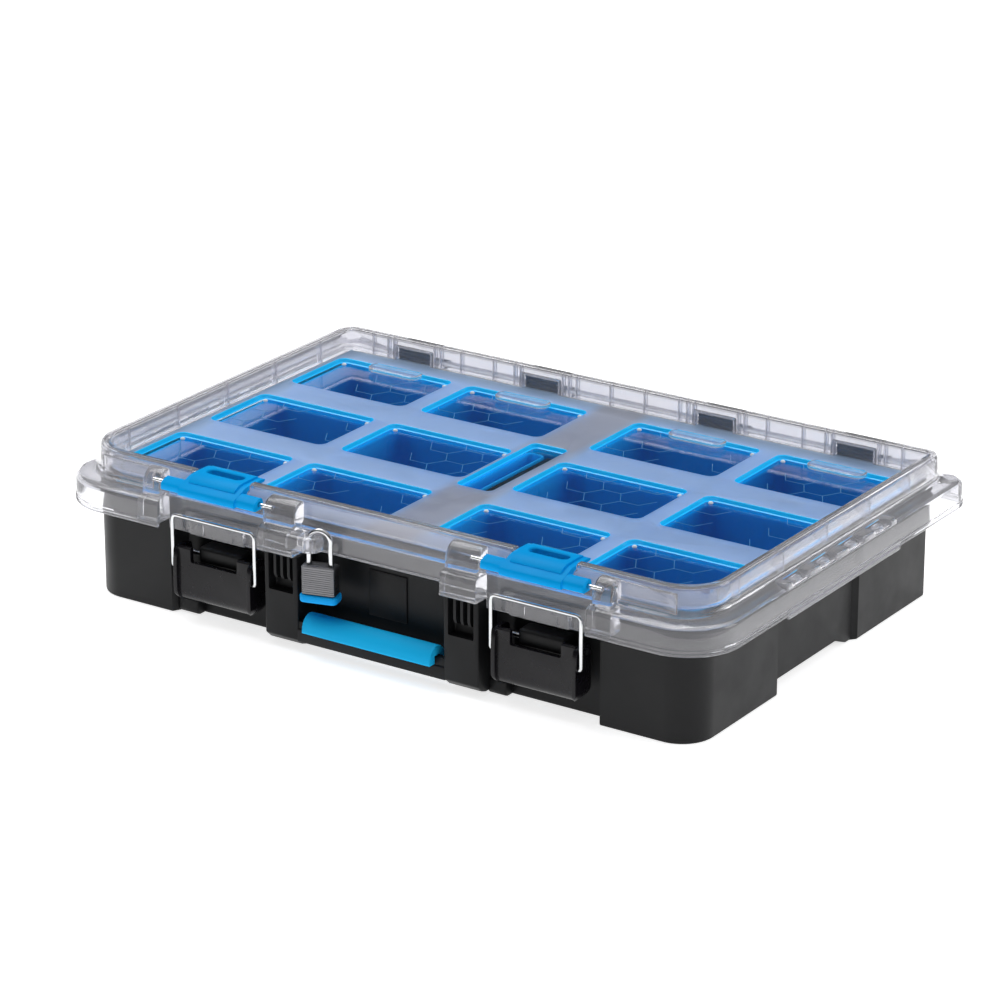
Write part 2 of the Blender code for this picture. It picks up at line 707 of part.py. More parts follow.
def make_lid():
    rings = [
        flat_ring(rounded_rect(half_x, half_y, front_r, back_radius=back_r), z)
        for half_x, half_y, front_r, back_r, z in lid_rings()
    ]
    lid = loft("lid_shell", rings, CLEAR)

    zone = LATCH_X + LATCH_ZONE
    setback = FRONT_SETBACK
    cut_out(
        lid,
        box("front_setback", (-zone, -0.2000, 0.0600), (zone, setback, 0.1300), CLEAR),
    )
    wall_back = setback + CLEAR_WALL
    parts = [
        box(
            "front_wall",
            (-zone - WELD, setback + 0.0001, FRONT_WALL_LOW),
            (zone + WELD, wall_back, SHOULDER_Z),
            CLEAR,
        )
    ]
    for tag, centre in sides_of("latch", LATCH_X):
        side = 1 if centre > 0 else -1
        parts.append(
            box(
                tag + "_wall",
                (centre - LATCH_ZONE - WELD, setback, LATCH_WALL_LOW),
                (centre + LATCH_ZONE + WELD, wall_back + 0.0003, SHOULDER_Z - 0.0005),
                CLEAR,
            )
        )
        parts.append(
            prism_x(
                tag + "_catch",
                [
                    (wall_back - 0.0005, 0.0660),
                    (-0.1708, 0.0660),
                    (-0.1713, 0.0680),
                    (-0.1723, 0.0770),
                    (-0.1718, 0.0785),
                    (wall_back - 0.0005, 0.0785),
                ],
                centre - CATCH_HALF,
                centre + CATCH_HALF,
                CLEAR,
            )
        )
        inner_low, inner_high = sorted((side * BOSS_INNER, side * (LATCH_X - LATCH_ZONE)))
        parts.append(rounded_boss(tag + "_inner_boss", inner_low, inner_high))
        outer_low, outer_high = sorted((side * zone, side * BOSS_OUTER))
        parts.append(rounded_boss(tag + "_outer_boss", outer_low, outer_high))
    parts.append(lug_solid())
    for tag, side in (("left", -1), ("right", 1)):
        low, high = sorted((side * (RIM_X + WELD), side * LID_X))
        parts.append(
            box(
                f"side_boss_{tag}",
                (low, -SIDE_BOSS_HALF, SHOULDER_Z - WELD),
                (high, SIDE_BOSS_HALF, SIDE_BOSS_TOP),
                CLEAR,
            )
        )
        low, high = sorted((side * (LID_X - CLEAR_WALL), side * LID_X))
        parts.append(
            box(
                f"side_apron_{tag}",
                (low, -SIDE_BOSS_HALF, SIDE_APRON_LOW),
                (high, SIDE_BOSS_HALF, SKIRT_Z + 0.0037),
                CLEAR,
            )
        )
    cuts = []
    for index, (x, y, half_x, half_y, radius) in enumerate(windows()):
        grow = WINDOW_EDGE
        low = rounded_rect(half_x + 0.0008, half_y + 0.0008, radius, (x, y), 3)
        high = rounded_rect(half_x + grow, half_y + grow, radius + 0.001, (x, y), 3)
        parts.append(
            loft(
                f"pan_{index}",
                [
                    flat_ring(low, PANE_UNDER),
                    flat_ring(high, PANE_UNDER + 0.001),
                    flat_ring(high, PANEL_UNDER + 0.0012),
                ],
                CLEAR,
            )
        )
        bottom = rounded_rect(half_x - 0.0008, half_y - 0.0008, radius - 0.0008, (x, y), 3)
        top = rounded_rect(half_x, half_y, radius, (x, y), 3)
        cuts.append(
            loft(
                f"window_{index}",
                [
                    flat_ring(bottom, PANE_TOP),
                    flat_ring(top, PANE_TOP + 0.0008),
                    flat_ring(top, PANEL_TOP + 0.0033),
                ],
                CLEAR,
            )
        )
    join_in(lid, *parts)

    for tag, centre in sides_of("stack", LATCH_X):
        cuts.append(
            box(
                tag + "_rim_notch",
                (centre - STACK_PLATE_HALF - 0.0010, -0.1690, 0.1066),
                (centre + STACK_PLATE_HALF + 0.0010, -0.1500, 0.1150),
                CLEAR,
            )
        )
        cuts.append(
            rod(
                tag + "_pin_hole",
                (centre - STACK_PIN_HALF - WELD, STACK_AXIS_Y, STACK_AXIS_Z),
                (centre + STACK_PIN_HALF + WELD, STACK_AXIS_Y, STACK_AXIS_Z),
                STACK_PIN_R + GAP,
                CLEAR,
                sides=12,
            )
        )
    cuts.append(
        rod("lug_hole", (PAD_X, PAD_Y, 0.0760), (PAD_X, PAD_Y, 0.0960), LUG_HOLE_R, CLEAR, sides=16)
    )
    for index, x in enumerate(HINGE_X):
        cuts.append(
            box(
                f"hinge_notch_{index + 1}",
                (x - HINGE_HALF - 0.0008, RIM_Y - 0.0018, 0.0600),
                (x + HINGE_HALF + 0.0008, 0.2000, 0.0926),
                CLEAR,
            )
        )
    cut_out(lid, *cuts)
    pivot_at(lid, (0.0, HINGE_Y, HINGE_Z))
    return lid


# ---- hinges ----
def make_hinge(index, x, lid):
    """A black leaf up inside the rim's channel, two knuckles and a steel pin."""
    leaf = box(
        f"hinge_leaf_{index}",
        (x - HINGE_HALF, LEAF_FRONT, LEAF_LOW),
        (x + HINGE_HALF, LEAF_FRONT + LEAF_THICKNESS, LEAF_TOP),
        BLACK,
    )
    shelf = box(
        f"leaf_shelf_{index}",
        (x - HINGE_HALF, LEAF_FRONT, LEAF_LOW - 0.0001),
        (x + HINGE_HALF, RIM_Y + 0.0040, LEAF_LOW + 0.0016),
        BLACK,
    )
    pieces = [shelf]
    for tag, low, high in (
        ("a", x - HINGE_HALF, x - BASE_KNUCKLE_HALF - 0.0004),
        ("b", x + BASE_KNUCKLE_HALF + 0.0004, x + HINGE_HALF),
    ):
        pieces.append(
            box(
                f"leaf_prong_{index}{tag}",
                (low, RIM_Y + 0.0030, 0.0864),
                (high, HINGE_Y, HINGE_Z + HINGE_RADIUS - 0.0002),
                BLACK,
            )
        )
        pieces.append(
            rod(
                f"leaf_knuckle_{index}{tag}",
                (low, HINGE_Y, HINGE_Z),
                (high, HINGE_Y, HINGE_Z),
                HINGE_RADIUS,
                BLACK,
                sides=20,
            )
        )
    join_in(leaf, *pieces)
    cut_out(
        leaf,
        rod(
            f"leaf_hole_{index}",
            (x - HINGE_HALF - 0.002, HINGE_Y, HINGE_Z),
            (x + HINGE_HALF + 0.002, HINGE_Y, HINGE_Z),
            HINGE_PIN_R + GAP,
            BLACK,
        ),
    )
    pivot_at(leaf, (x, HINGE_Y, HINGE_Z))
    hang_on(leaf, lid)
    rod(
        f"hinge_pin_{index}",
        (x - HINGE_HALF + 0.0002, HINGE_Y, HINGE_Z),
        (x + HINGE_HALF - 0.0002, HINGE_Y, HINGE_Z),
        HINGE_PIN_R,
        STEEL,
    )


# ---- draw latches ----
def make_latch(tag, centre):
    """Lever on its pin, and the wire bail that it draws down."""
    axis = (centre, LEVER_AXIS_Y, LEVER_AXIS_Z)
    plate_outline = [
        (LEVER_FRONT, 0.0570),
        (LEVER_FRONT, 0.0260),
        (LEVER_FRONT + 0.0012, 0.0200),
        (LEVER_FRONT + 0.0045, 0.0160),
        (LEVER_FRONT + 0.0090, 0.0150),
        (LEVER_FRONT + 0.0090, 0.0178),
        (LEVER_FRONT + 0.0060, 0.0185),
        (LEVER_FRONT + 0.0042, 0.0215),
        (LEVER_FRONT + 0.0034, 0.0265),
        (LEVER_FRONT + 0.0034, 0.0570),
    ]
    inside = LEVER_HALF - 0.0030
    lever = prism_x(
        f"latch_lever_{tag}", plate_outline, centre - inside - 0.0005, centre + inside + 0.0005, BLACK
    )
    wing_outline = [
        (-0.1780, 0.0280),
        (-0.1770, 0.0230),
        (-0.1735, 0.0190),
        (-0.1660, 0.0160),
        (-0.1600, 0.0220),
        (-0.1585, 0.0300),
        (-0.1585, 0.0520),
        (-0.1610, 0.0560),
        (-0.1710, 0.0570),
        (-0.1780, 0.0525),
    ]
    wings = []
    for index, side in enumerate((-1, 1)):
        low, high = sorted((centre + side * inside, centre + side * LEVER_HALF))
        wings.append(prism_x(f"lever_wing_{tag}_{index}", wing_outline, low, high, BLACK))
    join_in(lever, *wings)
    notch = box(
        f"lever_notch_{tag}",
        (centre - 0.0205, LEVER_FRONT - 0.004, 0.0465),
        (centre + 0.0205, LEVER_FRONT + 0.006, 0.0600),
        BLACK,
    )
    pin_hole = rod(
        f"lever_hole_{tag}",
        (centre - LEVER_HALF - 0.006, LEVER_AXIS_Y, LEVER_AXIS_Z),
        (centre + LEVER_HALF + 0.006, LEVER_AXIS_Y, LEVER_AXIS_Z),
        LEVER_PIN_R + GAP,
        BLACK,
    )
    side_slots = []
    for index, side in enumerate((-1, 1)):
        low, high = sorted((centre + side * (inside - 0.0005), centre + side * (LEVER_HALF + 0.006)))
        side_slots.append(
            rod(
                f"bail_hole_{tag}_{index}",
                (low, BAIL_Y, BAIL_AXIS_Z),
                (high, BAIL_Y, BAIL_AXIS_Z),
                WIRE_R + GAP + 0.0001,
                BLACK,
            )
        )
    cut_out(lever, notch, pin_hole, *side_slots)
    pivot_at(lever, axis)

    rod(
        f"latch_pin_{tag}",
        (centre - LEVER_HALF + 0.0004, LEVER_AXIS_Y, LEVER_AXIS_Z),
        (centre + LEVER_HALF - 0.0004, LEVER_AXIS_Y, LEVER_AXIS_Z),
        LEVER_PIN_R,
        STEEL,
        sides=14,
    )

    bend = 0.0040
    foot = LEVER_HALF - 0.0028
    points = [(centre - foot, BAIL_AXIS_Z)]
    corners = [
        (centre - BAIL_HALF, BAIL_AXIS_Z, 0.0022),
        (centre - BAIL_HALF, BAIL_TOP_Z, bend),
        (centre + BAIL_HALF, BAIL_TOP_Z, bend),
        (centre + BAIL_HALF, BAIL_AXIS_Z, 0.0022),
    ]
    nodes = [points[0]] + [(x, z) for x, z, _ in corners] + [(centre + foot, BAIL_AXIS_Z)]
    for place, (x, z, radius) in enumerate(corners):
        here = Vector((x, z))
        before = (Vector(nodes[place]) - here).normalized()
        after = (Vector(nodes[place + 2]) - here).normalized()
        start, end = here + before * radius, here + after * radius
        middle = here + (before + after) * radius
        first, last = start - middle, end - middle
        for step in range(5):
            share = math.pi / 2 * step / 4
            points.append(tuple(middle + first * math.cos(share) + last * math.sin(share)))
    points.append((centre + foot, BAIL_AXIS_Z))
    bail = tube_path(
        f"wire_bail_{tag}", [(x, BAIL_Y, z) for x, z in points], WIRE_R, STEEL, sides=10
    )
    pivot_at(bail, (centre, BAIL_Y, BAIL_AXIS_Z))
    hang_on(bail, lever)


# ---- stacking latches ----
def make_stack_latch(tag, centre, lid):
    """Flip-up latch that would grip the case above, folded back over the rim."""
    plate = prism_x(
        f"stack_latch_{tag}",
        [
            (-0.1450, 0.1112),
            (-0.1465, 0.1118),
            (-0.1640, 0.1118),
            (-0.1700, 0.1104),
            (-0.1800, 0.1062),
            (-0.1826, 0.1040),
            (-0.1822, 0.0996),
            (-0.1800, 0.0986),
            (-0.1760, 0.1000),
            (-0.1690, 0.1010),
            (-0.1660, 0.1060),
            (-0.1640, 0.1074),
            (-0.1470, 0.1080),
            (-0.1450, 0.1086),
        ],
        centre - STACK_PLATE_HALF,
        centre + STACK_PLATE_HALF,
        LATCH_BLUE,
    )
    ear_outline = [
        (-0.1700, 0.1062),
        (-0.1730, 0.1076),
        (-0.1790, 0.1050),
        (-0.1806, 0.1034),
        (-0.1804, 0.1000),
        (-0.1784, 0.0990),
        (-0.1710, 0.0994),
        (-0.1696, 0.1010),
    ]
    bar = prism_x(
        f"stack_bar_{tag}",
        ear_outline,
        centre - STACK_BAR_HALF,
        centre + STACK_BAR_HALF,
        LATCH_BLUE,
    )
    slot_rings = []
    for z in (0.0950, 0.1200):
        slot_rings.append(
            flat_ring(rounded_rect(*STACK_SLOT, (centre, STACK_SLOT_Y), 3), z)
        )
    slot = loft(f"stack_slot_{tag}", slot_rings, LATCH_BLUE)
    hole = rod(
        f"stack_hole_{tag}",
        (centre - 0.050, STACK_AXIS_Y, STACK_AXIS_Z),
        (centre + 0.050, STACK_AXIS_Y, STACK_AXIS_Z),
        STACK_PIN_R + GAP,
        LATCH_BLUE,
        sides=12,
    )
    join_in(plate, bar)
    cut_out(plate, slot, hole)
    pivot_at(plate, (centre, STACK_AXIS_Y, STACK_AXIS_Z))
    hang_on(plate, lid)
    pin = rod(
        f"stack_pin_{tag}",
        (centre - STACK_PIN_HALF, STACK_AXIS_Y, STACK_AXIS_Z),
        (centre + STACK_PIN_HALF, STACK_AXIS_Y, STACK_AXIS_Z),
        STACK_PIN_R,
        STEEL,
        sides=12,
    )
    hang_on(pin, lid)


# ---- padlock ----
def make_padlock(lid):
    """Small laminated padlock that hangs in the lid's lug, turned a little about its leg."""
    turn = Matrix.Translation((PAD_X, PAD_Y, 0.0)) @ Matrix.Rotation(PAD_YAW, 4, "Z")
    half = PAD_LEGS / 2
    body_half_x, body_half_y = PAD_HALF
    points = [(0.0, 0.0, PAD_BODY_TOP - 0.0090)]
    for step in range(13):
        angle = math.pi - math.pi * step / 12
        points.append((half + half * math.cos(angle), 0.0, PAD_ARCH_Z + half * math.sin(angle)))
    points.append((PAD_LEGS, 0.0, PAD_BODY_TOP - 0.0050))
    shackle = tube_path("padlock_shackle", points, PAD_ROD, STEEL, sides=12)

    body = loft(
        "padlock_body",
        [
            flat_ring(rounded_rect(body_half_x, body_half_y, 0.0020, (half, 0.0), 3), z)
            for z in (PAD_BODY_BOTTOM, PAD_BODY_TOP)
        ],
        LAMINATE,
    )
    for name, x, depth in (("long", 0.0, 0.0190), ("short", PAD_LEGS, 0.0150)):
        hole = rod(
            f"shackle_hole_{name}",
            (x, 0.0, PAD_BODY_TOP - depth),
            (x, 0.0, PAD_BODY_TOP + 0.002),
            PAD_ROD + GAP,
            LAMINATE,
        )
        hole.matrix_world = turn
        cut_out(body, hole)
    key_hole = rod(
        "plug_hole",
        (half, 0.0, PAD_BODY_BOTTOM - 0.002),
        (half, 0.0, PAD_BODY_BOTTOM + 0.0012),
        PLUG_WAY_R,
        LAMINATE,
    )
    key_hole.matrix_world = turn
    cut_out(body, key_hole)

    bumper_top = PAD_BODY_BOTTOM - GAP
    bumper = loft(
        "padlock_bumper",
        [
            flat_ring(rounded_rect(body_half_x + grow, body_half_y + grow, 0.0026, (half, 0.0), 3), z)
            for grow, z in (
                (0.0002, PAD_BUMPER_BOTTOM),
                (0.0014, PAD_BUMPER_BOTTOM + 0.0012),
                (0.0014, bumper_top - 0.0008),
                (0.0008, bumper_top),
            )
        ],
        LATCH_BLUE,
    )
    plug_way = rod(
        "bumper_hole",
        (half, 0.0, PAD_BUMPER_BOTTOM - 0.002),
        (half, 0.0, PAD_BODY_BOTTOM + 0.004),
        PLUG_WAY_R,
        LATCH_BLUE,
    )
    plug_way.matrix_world = turn
    cut_out(bumper, plug_way)

    plug = rod(
        "padlock_key_plug",
        (half, 0.0, PAD_BUMPER_BOTTOM + 0.0006),
        (half, 0.0, PAD_BODY_BOTTOM + 0.0008),
        PLUG_R,
        STEEL,
        sides=16,
    )
    key_slot = box(
        "key_slot",
        (half - 0.0005, -0.0028, PAD_BUMPER_BOTTOM - 0.002),
        (half + 0.0005, 0.0028, PAD_BUMPER_BOTTOM + 0.0050),
        STEEL,
    )
    key_slot.matrix_world = turn
    cut_out(plug, key_slot)

    for thing in (shackle, body, bumper, plug):
        thing.data.transform(turn)
    pivot_at(shackle, (PAD_X, PAD_Y, PAD_ARCH_Z))
    middle = turn @ Vector((half, 0.0, 0.0))
    pivot_at(body, (middle.x, middle.y, PAD_BODY_TOP))
    pivot_at(plug, (middle.x, middle.y, PAD_BUMPER_BOTTOM))
    hang_on(shackle, lid)
    bpy.context.view_layer.update()
    for child, parent in ((body, shackle), (bumper, body), (plug, body)):
        child.parent = parent
        child.matrix_parent_inverse = parent.matrix_world.inverted()
        bpy.context.view_layer.update()


make_base()
make_grip()
make_bins()
lid_shell = make_lid()
for number, hinge_x in enumerate(HINGE_X):
    make_hinge(number + 1, hinge_x, lid_shell)
for side_name, side_x in (("left", -LATCH_X), ("right", LATCH_X)):
    make_latch(side_name, side_x)
    make_stack_latch(side_name, side_x, lid_shell)
make_padlock(lid_shell)
bpy.context.view_layer.update()
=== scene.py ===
import math

import bmesh
import bpy
from mathutils import Matrix, Vector


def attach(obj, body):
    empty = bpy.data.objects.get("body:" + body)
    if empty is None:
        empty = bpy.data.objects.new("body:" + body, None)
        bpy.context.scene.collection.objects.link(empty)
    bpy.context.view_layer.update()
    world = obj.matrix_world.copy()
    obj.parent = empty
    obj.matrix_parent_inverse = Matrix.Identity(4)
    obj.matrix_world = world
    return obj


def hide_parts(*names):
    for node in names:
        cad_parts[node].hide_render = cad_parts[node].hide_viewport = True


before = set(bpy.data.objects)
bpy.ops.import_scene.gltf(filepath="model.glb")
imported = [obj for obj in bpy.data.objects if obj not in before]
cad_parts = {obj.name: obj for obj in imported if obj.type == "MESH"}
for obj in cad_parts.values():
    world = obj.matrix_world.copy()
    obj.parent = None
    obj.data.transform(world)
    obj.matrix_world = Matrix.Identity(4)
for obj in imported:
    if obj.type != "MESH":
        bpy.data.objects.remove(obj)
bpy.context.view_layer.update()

MM = 0.001
# places and sizes in millimetres, the same as the CAD's
LATCH_X = 135.5
LATCHES = (("left", -LATCH_X), ("right", LATCH_X))
LATCH_ZONE = 43.7  # half width of the gap in the lid's front at each latch
HINGES = (-193.5, -76.5, 76.5, 193.5)
HINGE_Y, HINGE_Z, HINGE_R, HINGE_HALF = 179.5, 84.0, 6.0, 16.0
LEVER_Y, LEVER_Z = -163.5, 50.0
BAIL_Y, BAIL_Z, BAIL_HALF, WIRE_R = -174.5, 41.0, 36.1, 1.5
STACK_Y, STACK_Z = -174.0, 103.0
PAD_X, PAD_Y, PAD_TURN = -50.0, -177.0, 15.0
GRIP_Y, GRIP_Z, GRIP_HALF = -172.5, 20.4, 54.0
RIBS_ACROSS = (-132.0, 0.0, 132.0)
RIBS_ALONG = (-50.0, 52.0)
BIN_ROWS = (-99.9, 1.2, 102.3)
BIN_COLUMNS = (-188.8, -75.2, 75.2, 188.8)
POCKETS = (-62, -24, 14, 52)  # middles of the pockets in the strip on each side of the lid


# ---------------------------------------------------------------- materials
def new_material(name):
    made = bpy.data.materials.new(name)
    made.use_nodes = True
    return made, made.node_tree, made.node_tree.nodes["Principled BSDF"]


def noise(tree, scale, detail=4.0, roughness=0.5, stretch=None):
    where = tree.nodes.new("ShaderNodeTexCoord")
    source = where.outputs["Object"]
    if stretch:
        mapping = tree.nodes.new("ShaderNodeMapping")
        mapping.inputs["Scale"].default_value = stretch
        tree.links.new(source, mapping.inputs["Vector"])
        source = mapping.outputs["Vector"]
    made = tree.nodes.new("ShaderNodeTexNoise")
    made.inputs["Scale"].default_value = scale
    made.inputs["Detail"].default_value = detail
    made.inputs["Roughness"].default_value = roughness
    tree.links.new(source, made.inputs["Vector"])
    return made.outputs["Fac"]


def ramp(tree, source, stops):
    made = tree.nodes.new("ShaderNodeValToRGB")
    elements = made.color_ramp.elements
    while len(elements) < len(stops):
        elements.new(0.5)
    for element, (place, value) in zip(elements, stops):
        element.position = place
        element.color = (*value, 1.0) if len(value) == 3 else (value[0],) * 3 + (1.0,)
    tree.links.new(source, made.inputs["Fac"])
    return made.outputs["Color"]


def vary(tree, source, low, high):
    made = tree.nodes.new("ShaderNodeMapRange")
    made.inputs["From Min"].default_value = 0.3
    made.inputs["From Max"].default_value = 0.7
    made.inputs["To Min"].default_value = low
    made.inputs["To Max"].default_value = high
    tree.links.new(source, made.inputs["Value"])
    return made.outputs["Result"]


def bump(tree, shader, source, strength, distance=0.0002):
    made = tree.nodes.new("ShaderNodeBump")
    made.inputs["Strength"].default_value = strength
    made.inputs["Distance"].default_value = distance
    tree.links.new(source, made.inputs["Height"])
    tree.links.new(made.outputs["Normal"], shader.inputs["Normal"])


def plastic(name, color, rough, grain=0.12, grain_scale=900.0, variation=0.06, gloss=0.2):
    made, tree, shader = new_material(name)
    dark = tuple(c * (1 - variation) for c in color)
    light = tuple(min(1.0, c * (1 + variation)) for c in color)
    cloud = noise(tree, 14.0)
    tree.links.new(ramp(tree, cloud, ((0.3, dark), (0.7, light))), shader.inputs["Base Color"])
    tree.links.new(vary(tree, noise(tree, 45.0), rough - 0.05, rough + 0.05), shader.inputs["Roughness"])
    shader.inputs["Specular IOR Level"].default_value = gloss
    bump(tree, shader, noise(tree, grain_scale, 2.0), grain)
    return made


def see_through(name, color, rough, transmission=1.0, grain=0.0, shade=0.9, glow=None):
    """Clear plastic that lets the light of lamps through to what it covers."""
    made, tree, shader = new_material(name)
    shader.inputs["Base Color"].default_value = (*color, 1.0)
    shader.inputs["IOR"].default_value = 1.46
    shader.inputs["Transmission Weight"].default_value = transmission
    tree.links.new(vary(tree, noise(tree, 60.0), rough * 0.7, rough * 1.3), shader.inputs["Roughness"])
    if grain:
        bump(tree, shader, noise(tree, 500.0, 2.0), grain)
    # glow paints light into the surface: a faint emission, though the part is no lamp
    if glow:
        shader.inputs["Emission Color"].default_value = (*glow, 1.0)
        shader.inputs["Emission Strength"].default_value = 0.30
    path = tree.nodes.new("ShaderNodeLightPath")
    clear = tree.nodes.new("ShaderNodeBsdfTransparent")
    clear.inputs["Color"].default_value = (shade, shade, shade, 1.0)
    mix = tree.nodes.new("ShaderNodeMixShader")
    out = tree.nodes["Material Output"]
    tree.links.new(path.outputs["Is Shadow Ray"], mix.inputs["Fac"])
    tree.links.new(shader.outputs["BSDF"], mix.inputs[1])
    tree.links.new(clear.outputs["BSDF"], mix.inputs[2])
    tree.links.new(mix.outputs["Shader"], out.inputs["Surface"])
    return made


def metal(name, color, rough, stretch=(1, 1, 1), grain=0.05, scale=400.0):
    made, tree, shader = new_material(name)
    shader.inputs["Metallic"].default_value = 1.0
    dark = tuple(c * 0.85 for c in color)
    tree.links.new(
        ramp(tree, noise(tree, 90.0, stretch=stretch), ((0.3, dark), (0.7, color))),
        shader.inputs["Base Color"],
    )
    uneven = vary(tree, noise(tree, 120.0, stretch=stretch), rough * 0.7, rough * 1.3)
    tree.links.new(uneven, shader.inputs["Roughness"])
    bump(tree, shader, noise(tree, scale, 2.0, stretch=stretch), grain)
    return made


def bin_plastic():
    """Blue plastic with painted light: lighter towards its rim, standing in for light that gets into the
    wall there, and darker lower down.
    """
    made, tree, shader = new_material("bin_blue")
    where = tree.nodes.new("ShaderNodeNewGeometry")
    split = tree.nodes.new("ShaderNodeSeparateXYZ")
    tree.links.new(where.outputs["Position"], split.inputs["Vector"])
    height = tree.nodes.new("ShaderNodeMapRange")
    height.inputs["From Min"].default_value = 0.030
    height.inputs["From Max"].default_value = 0.089
    tree.links.new(split.outputs["Z"], height.inputs["Value"])
    # painted light and shade: the blue brightens with height towards the rim and is darker low in the bin
    color = ramp(
        tree,
        height.outputs["Result"],
        ((0.0, (0.0012, 0.235, 0.56)), (0.75, (0.0016, 0.28, 0.65)), (1.0, (0.003, 0.46, 0.95))),
    )
    tree.links.new(color, shader.inputs["Base Color"])
    tree.links.new(vary(tree, noise(tree, 40.0), 0.24, 0.36), shader.inputs["Roughness"])
    shader.inputs["Specular IOR Level"].default_value = 0.12
    bump(tree, shader, noise(tree, 700.0, 2.0), 0.06)
    return made


def paint_light_on_panel(made):
    """Painted light and shade on the frosted panel: blue where the bins lie below, standing in for their
    colour showing through, greyer along the middle where no bin lies below, and a painted shade darker
    beside the rim.
    """
    tree = made.node_tree
    where = tree.nodes.new("ShaderNodeTexCoord")
    split = tree.nodes.new("ShaderNodeSeparateXYZ")
    tree.links.new(where.outputs["Object"], split.inputs["Vector"])
    tones = []
    # across: painted grey middle, painted blue over the bins, painted shade at the side rims; along:
    # painted shade at the front and back rims
    for axis, stops in (
        (
            "X",
            (
                (0.0, (0.45, 0.49, 0.60)),
                (0.06, (0.45, 0.49, 0.60)),
                (0.10, (0.44, 0.62, 0.88)),
                (0.94, (0.44, 0.62, 0.88)),
                (1.0, (0.22, 0.34, 0.52)),
            ),
        ),
        ("Y", ((0.0, (1.0,)), (0.545, (1.0,)), (0.60, (0.72,)))),
    ):
        size = tree.nodes.new("ShaderNodeMath")
        size.operation = "ABSOLUTE"
        tree.links.new(split.outputs[axis], size.inputs[0])
        share = tree.nodes.new("ShaderNodeMapRange")
        share.inputs["From Max"].default_value = 0.252
        tree.links.new(size.outputs["Value"], share.inputs["Value"])
        tones.append(ramp(tree, share.outputs["Result"], stops))
    mix = tree.nodes.new("ShaderNodeMix")
    mix.data_type = "RGBA"
    mix.blend_type = "MULTIPLY"
    mix.inputs["Factor"].default_value = 1.0
    tree.links.new(tones[0], mix.inputs[6])
    tree.links.new(tones[1], mix.inputs[7])
    tree.links.new(mix.outputs[2], tree.nodes["Principled BSDF"].inputs["Base Color"])


BLACK = plastic("black_plastic", (0.0080, 0.0083, 0.0092), 0.42, grain=0.08)
LEVER = plastic("lever_plastic", (0.0055, 0.0048, 0.0068), 0.28, grain=0.03, gloss=0.25)
RIDGED = plastic("ridged_plastic", (0.0060, 0.0060, 0.0070), 0.30, grain=0.03, gloss=0.4)
CLEAR = see_through("clear_plastic", (0.86, 0.86, 0.895), 0.07, transmission=0.90)
# the frosted colour is replaced by the panel's painted light and shade on the next line
FROSTED = see_through("frosted_plastic", (0.62, 0.68, 0.86), 0.40, transmission=0.52, grain=0.08)
paint_light_on_panel(FROSTED)
PANE = see_through("window_pane", (0.74, 0.90, 1.0), 0.02, shade=0.95)
# the windows' side walls carry painted light: bright blue colour and a faint blue glow standing in for
# light caught in them
PANE_EDGE_GLOW = see_through("window_edge_painted_glow", (0.02, 0.56, 0.96), 0.12, transmission=0.12, glow=(0.0, 0.42, 0.85))
LINES = plastic("window_lines", (0.11, 0.38, 0.64), 0.30, grain=0.02)
# white domes at the windows' back corners are painted highlights: white plastic standing in for glints
PIP_GLINTS = plastic("window_pip_glints", (0.92, 0.95, 0.98), 0.08, grain=0.02, gloss=1.0)
BIN = bin_plastic()
LATCH_BLUE = plastic("latch_blue", (0.0008, 0.41, 0.98), 0.40, grain=0.04, gloss=0.05)
GRIP = plastic("grip_blue", (0.010, 0.50, 0.95), 0.62, grain=0.30, gloss=0.10)
BUMPER = plastic("bumper_blue", (0.006, 0.40, 0.95), 0.45, grain=0.05, gloss=0.10)
STEEL = metal("bright_steel", (0.72, 0.73, 0.74), 0.16)
LAMINATE = metal("laminated_steel", (0.205, 0.205, 0.215), 0.36, stretch=(1, 1, 8))
BRASS = metal("brass", (0.60, 0.45, 0.20), 0.30)


# ---------------------------------------------------------------- shape helpers (millimetres in)
def rrect(half_x, half_y, radius, centre=(0.0, 0.0), steps=14, back=None):
    """A rectangle with round corners; the two at +Y may have a radius of their own."""
    points = []
    for corner, (sx, sy) in enumerate(((1, 1), (-1, 1), (-1, -1), (1, -1))):
        r = back if back and sy > 0 else radius
        mx, my = centre[0] + sx * (half_x - r), centre[1] + sy * (half_y - r)
        for step in range(steps + 1):
            angle = math.pi / 2 * (corner + step / steps)
            points.append((mx + r * math.cos(angle), my + r * math.sin(angle)))
    return points


def to_object(name, mesh_data, paint, sharp=35):
    mesh = bpy.data.meshes.new(name)
    bmesh.ops.recalc_face_normals(mesh_data, faces=mesh_data.faces)
    mesh_data.to_mesh(mesh)
    mesh_data.free()
    made = bpy.data.objects.new(name, mesh)
    bpy.context.scene.collection.objects.link(made)
    mesh.materials.append(paint)
    mesh.shade_smooth()
    mesh.set_sharp_from_angle(angle=math.radians(sharp))
    return made


def loft(name, rings, paint, sharp=35):
    """A closed solid through rings that all have the same count, with a cap on each end."""
    mesh_data = bmesh.new()
    made = [[mesh_data.verts.new(tuple(c * MM for c in point)) for point in ring] for ring in rings]
    for low, high in zip(made, made[1:]):
        for index in range(len(low)):
            after = (index + 1) % len(low)
            mesh_data.faces.new((low[index], low[after], high[after], high[index]))
    mesh_data.faces.new(made[0])
    mesh_data.faces.new(made[-1])
    return to_object(name, mesh_data, paint, sharp)


def level(points, z):
    return [(x, y, z) for x, y in points]


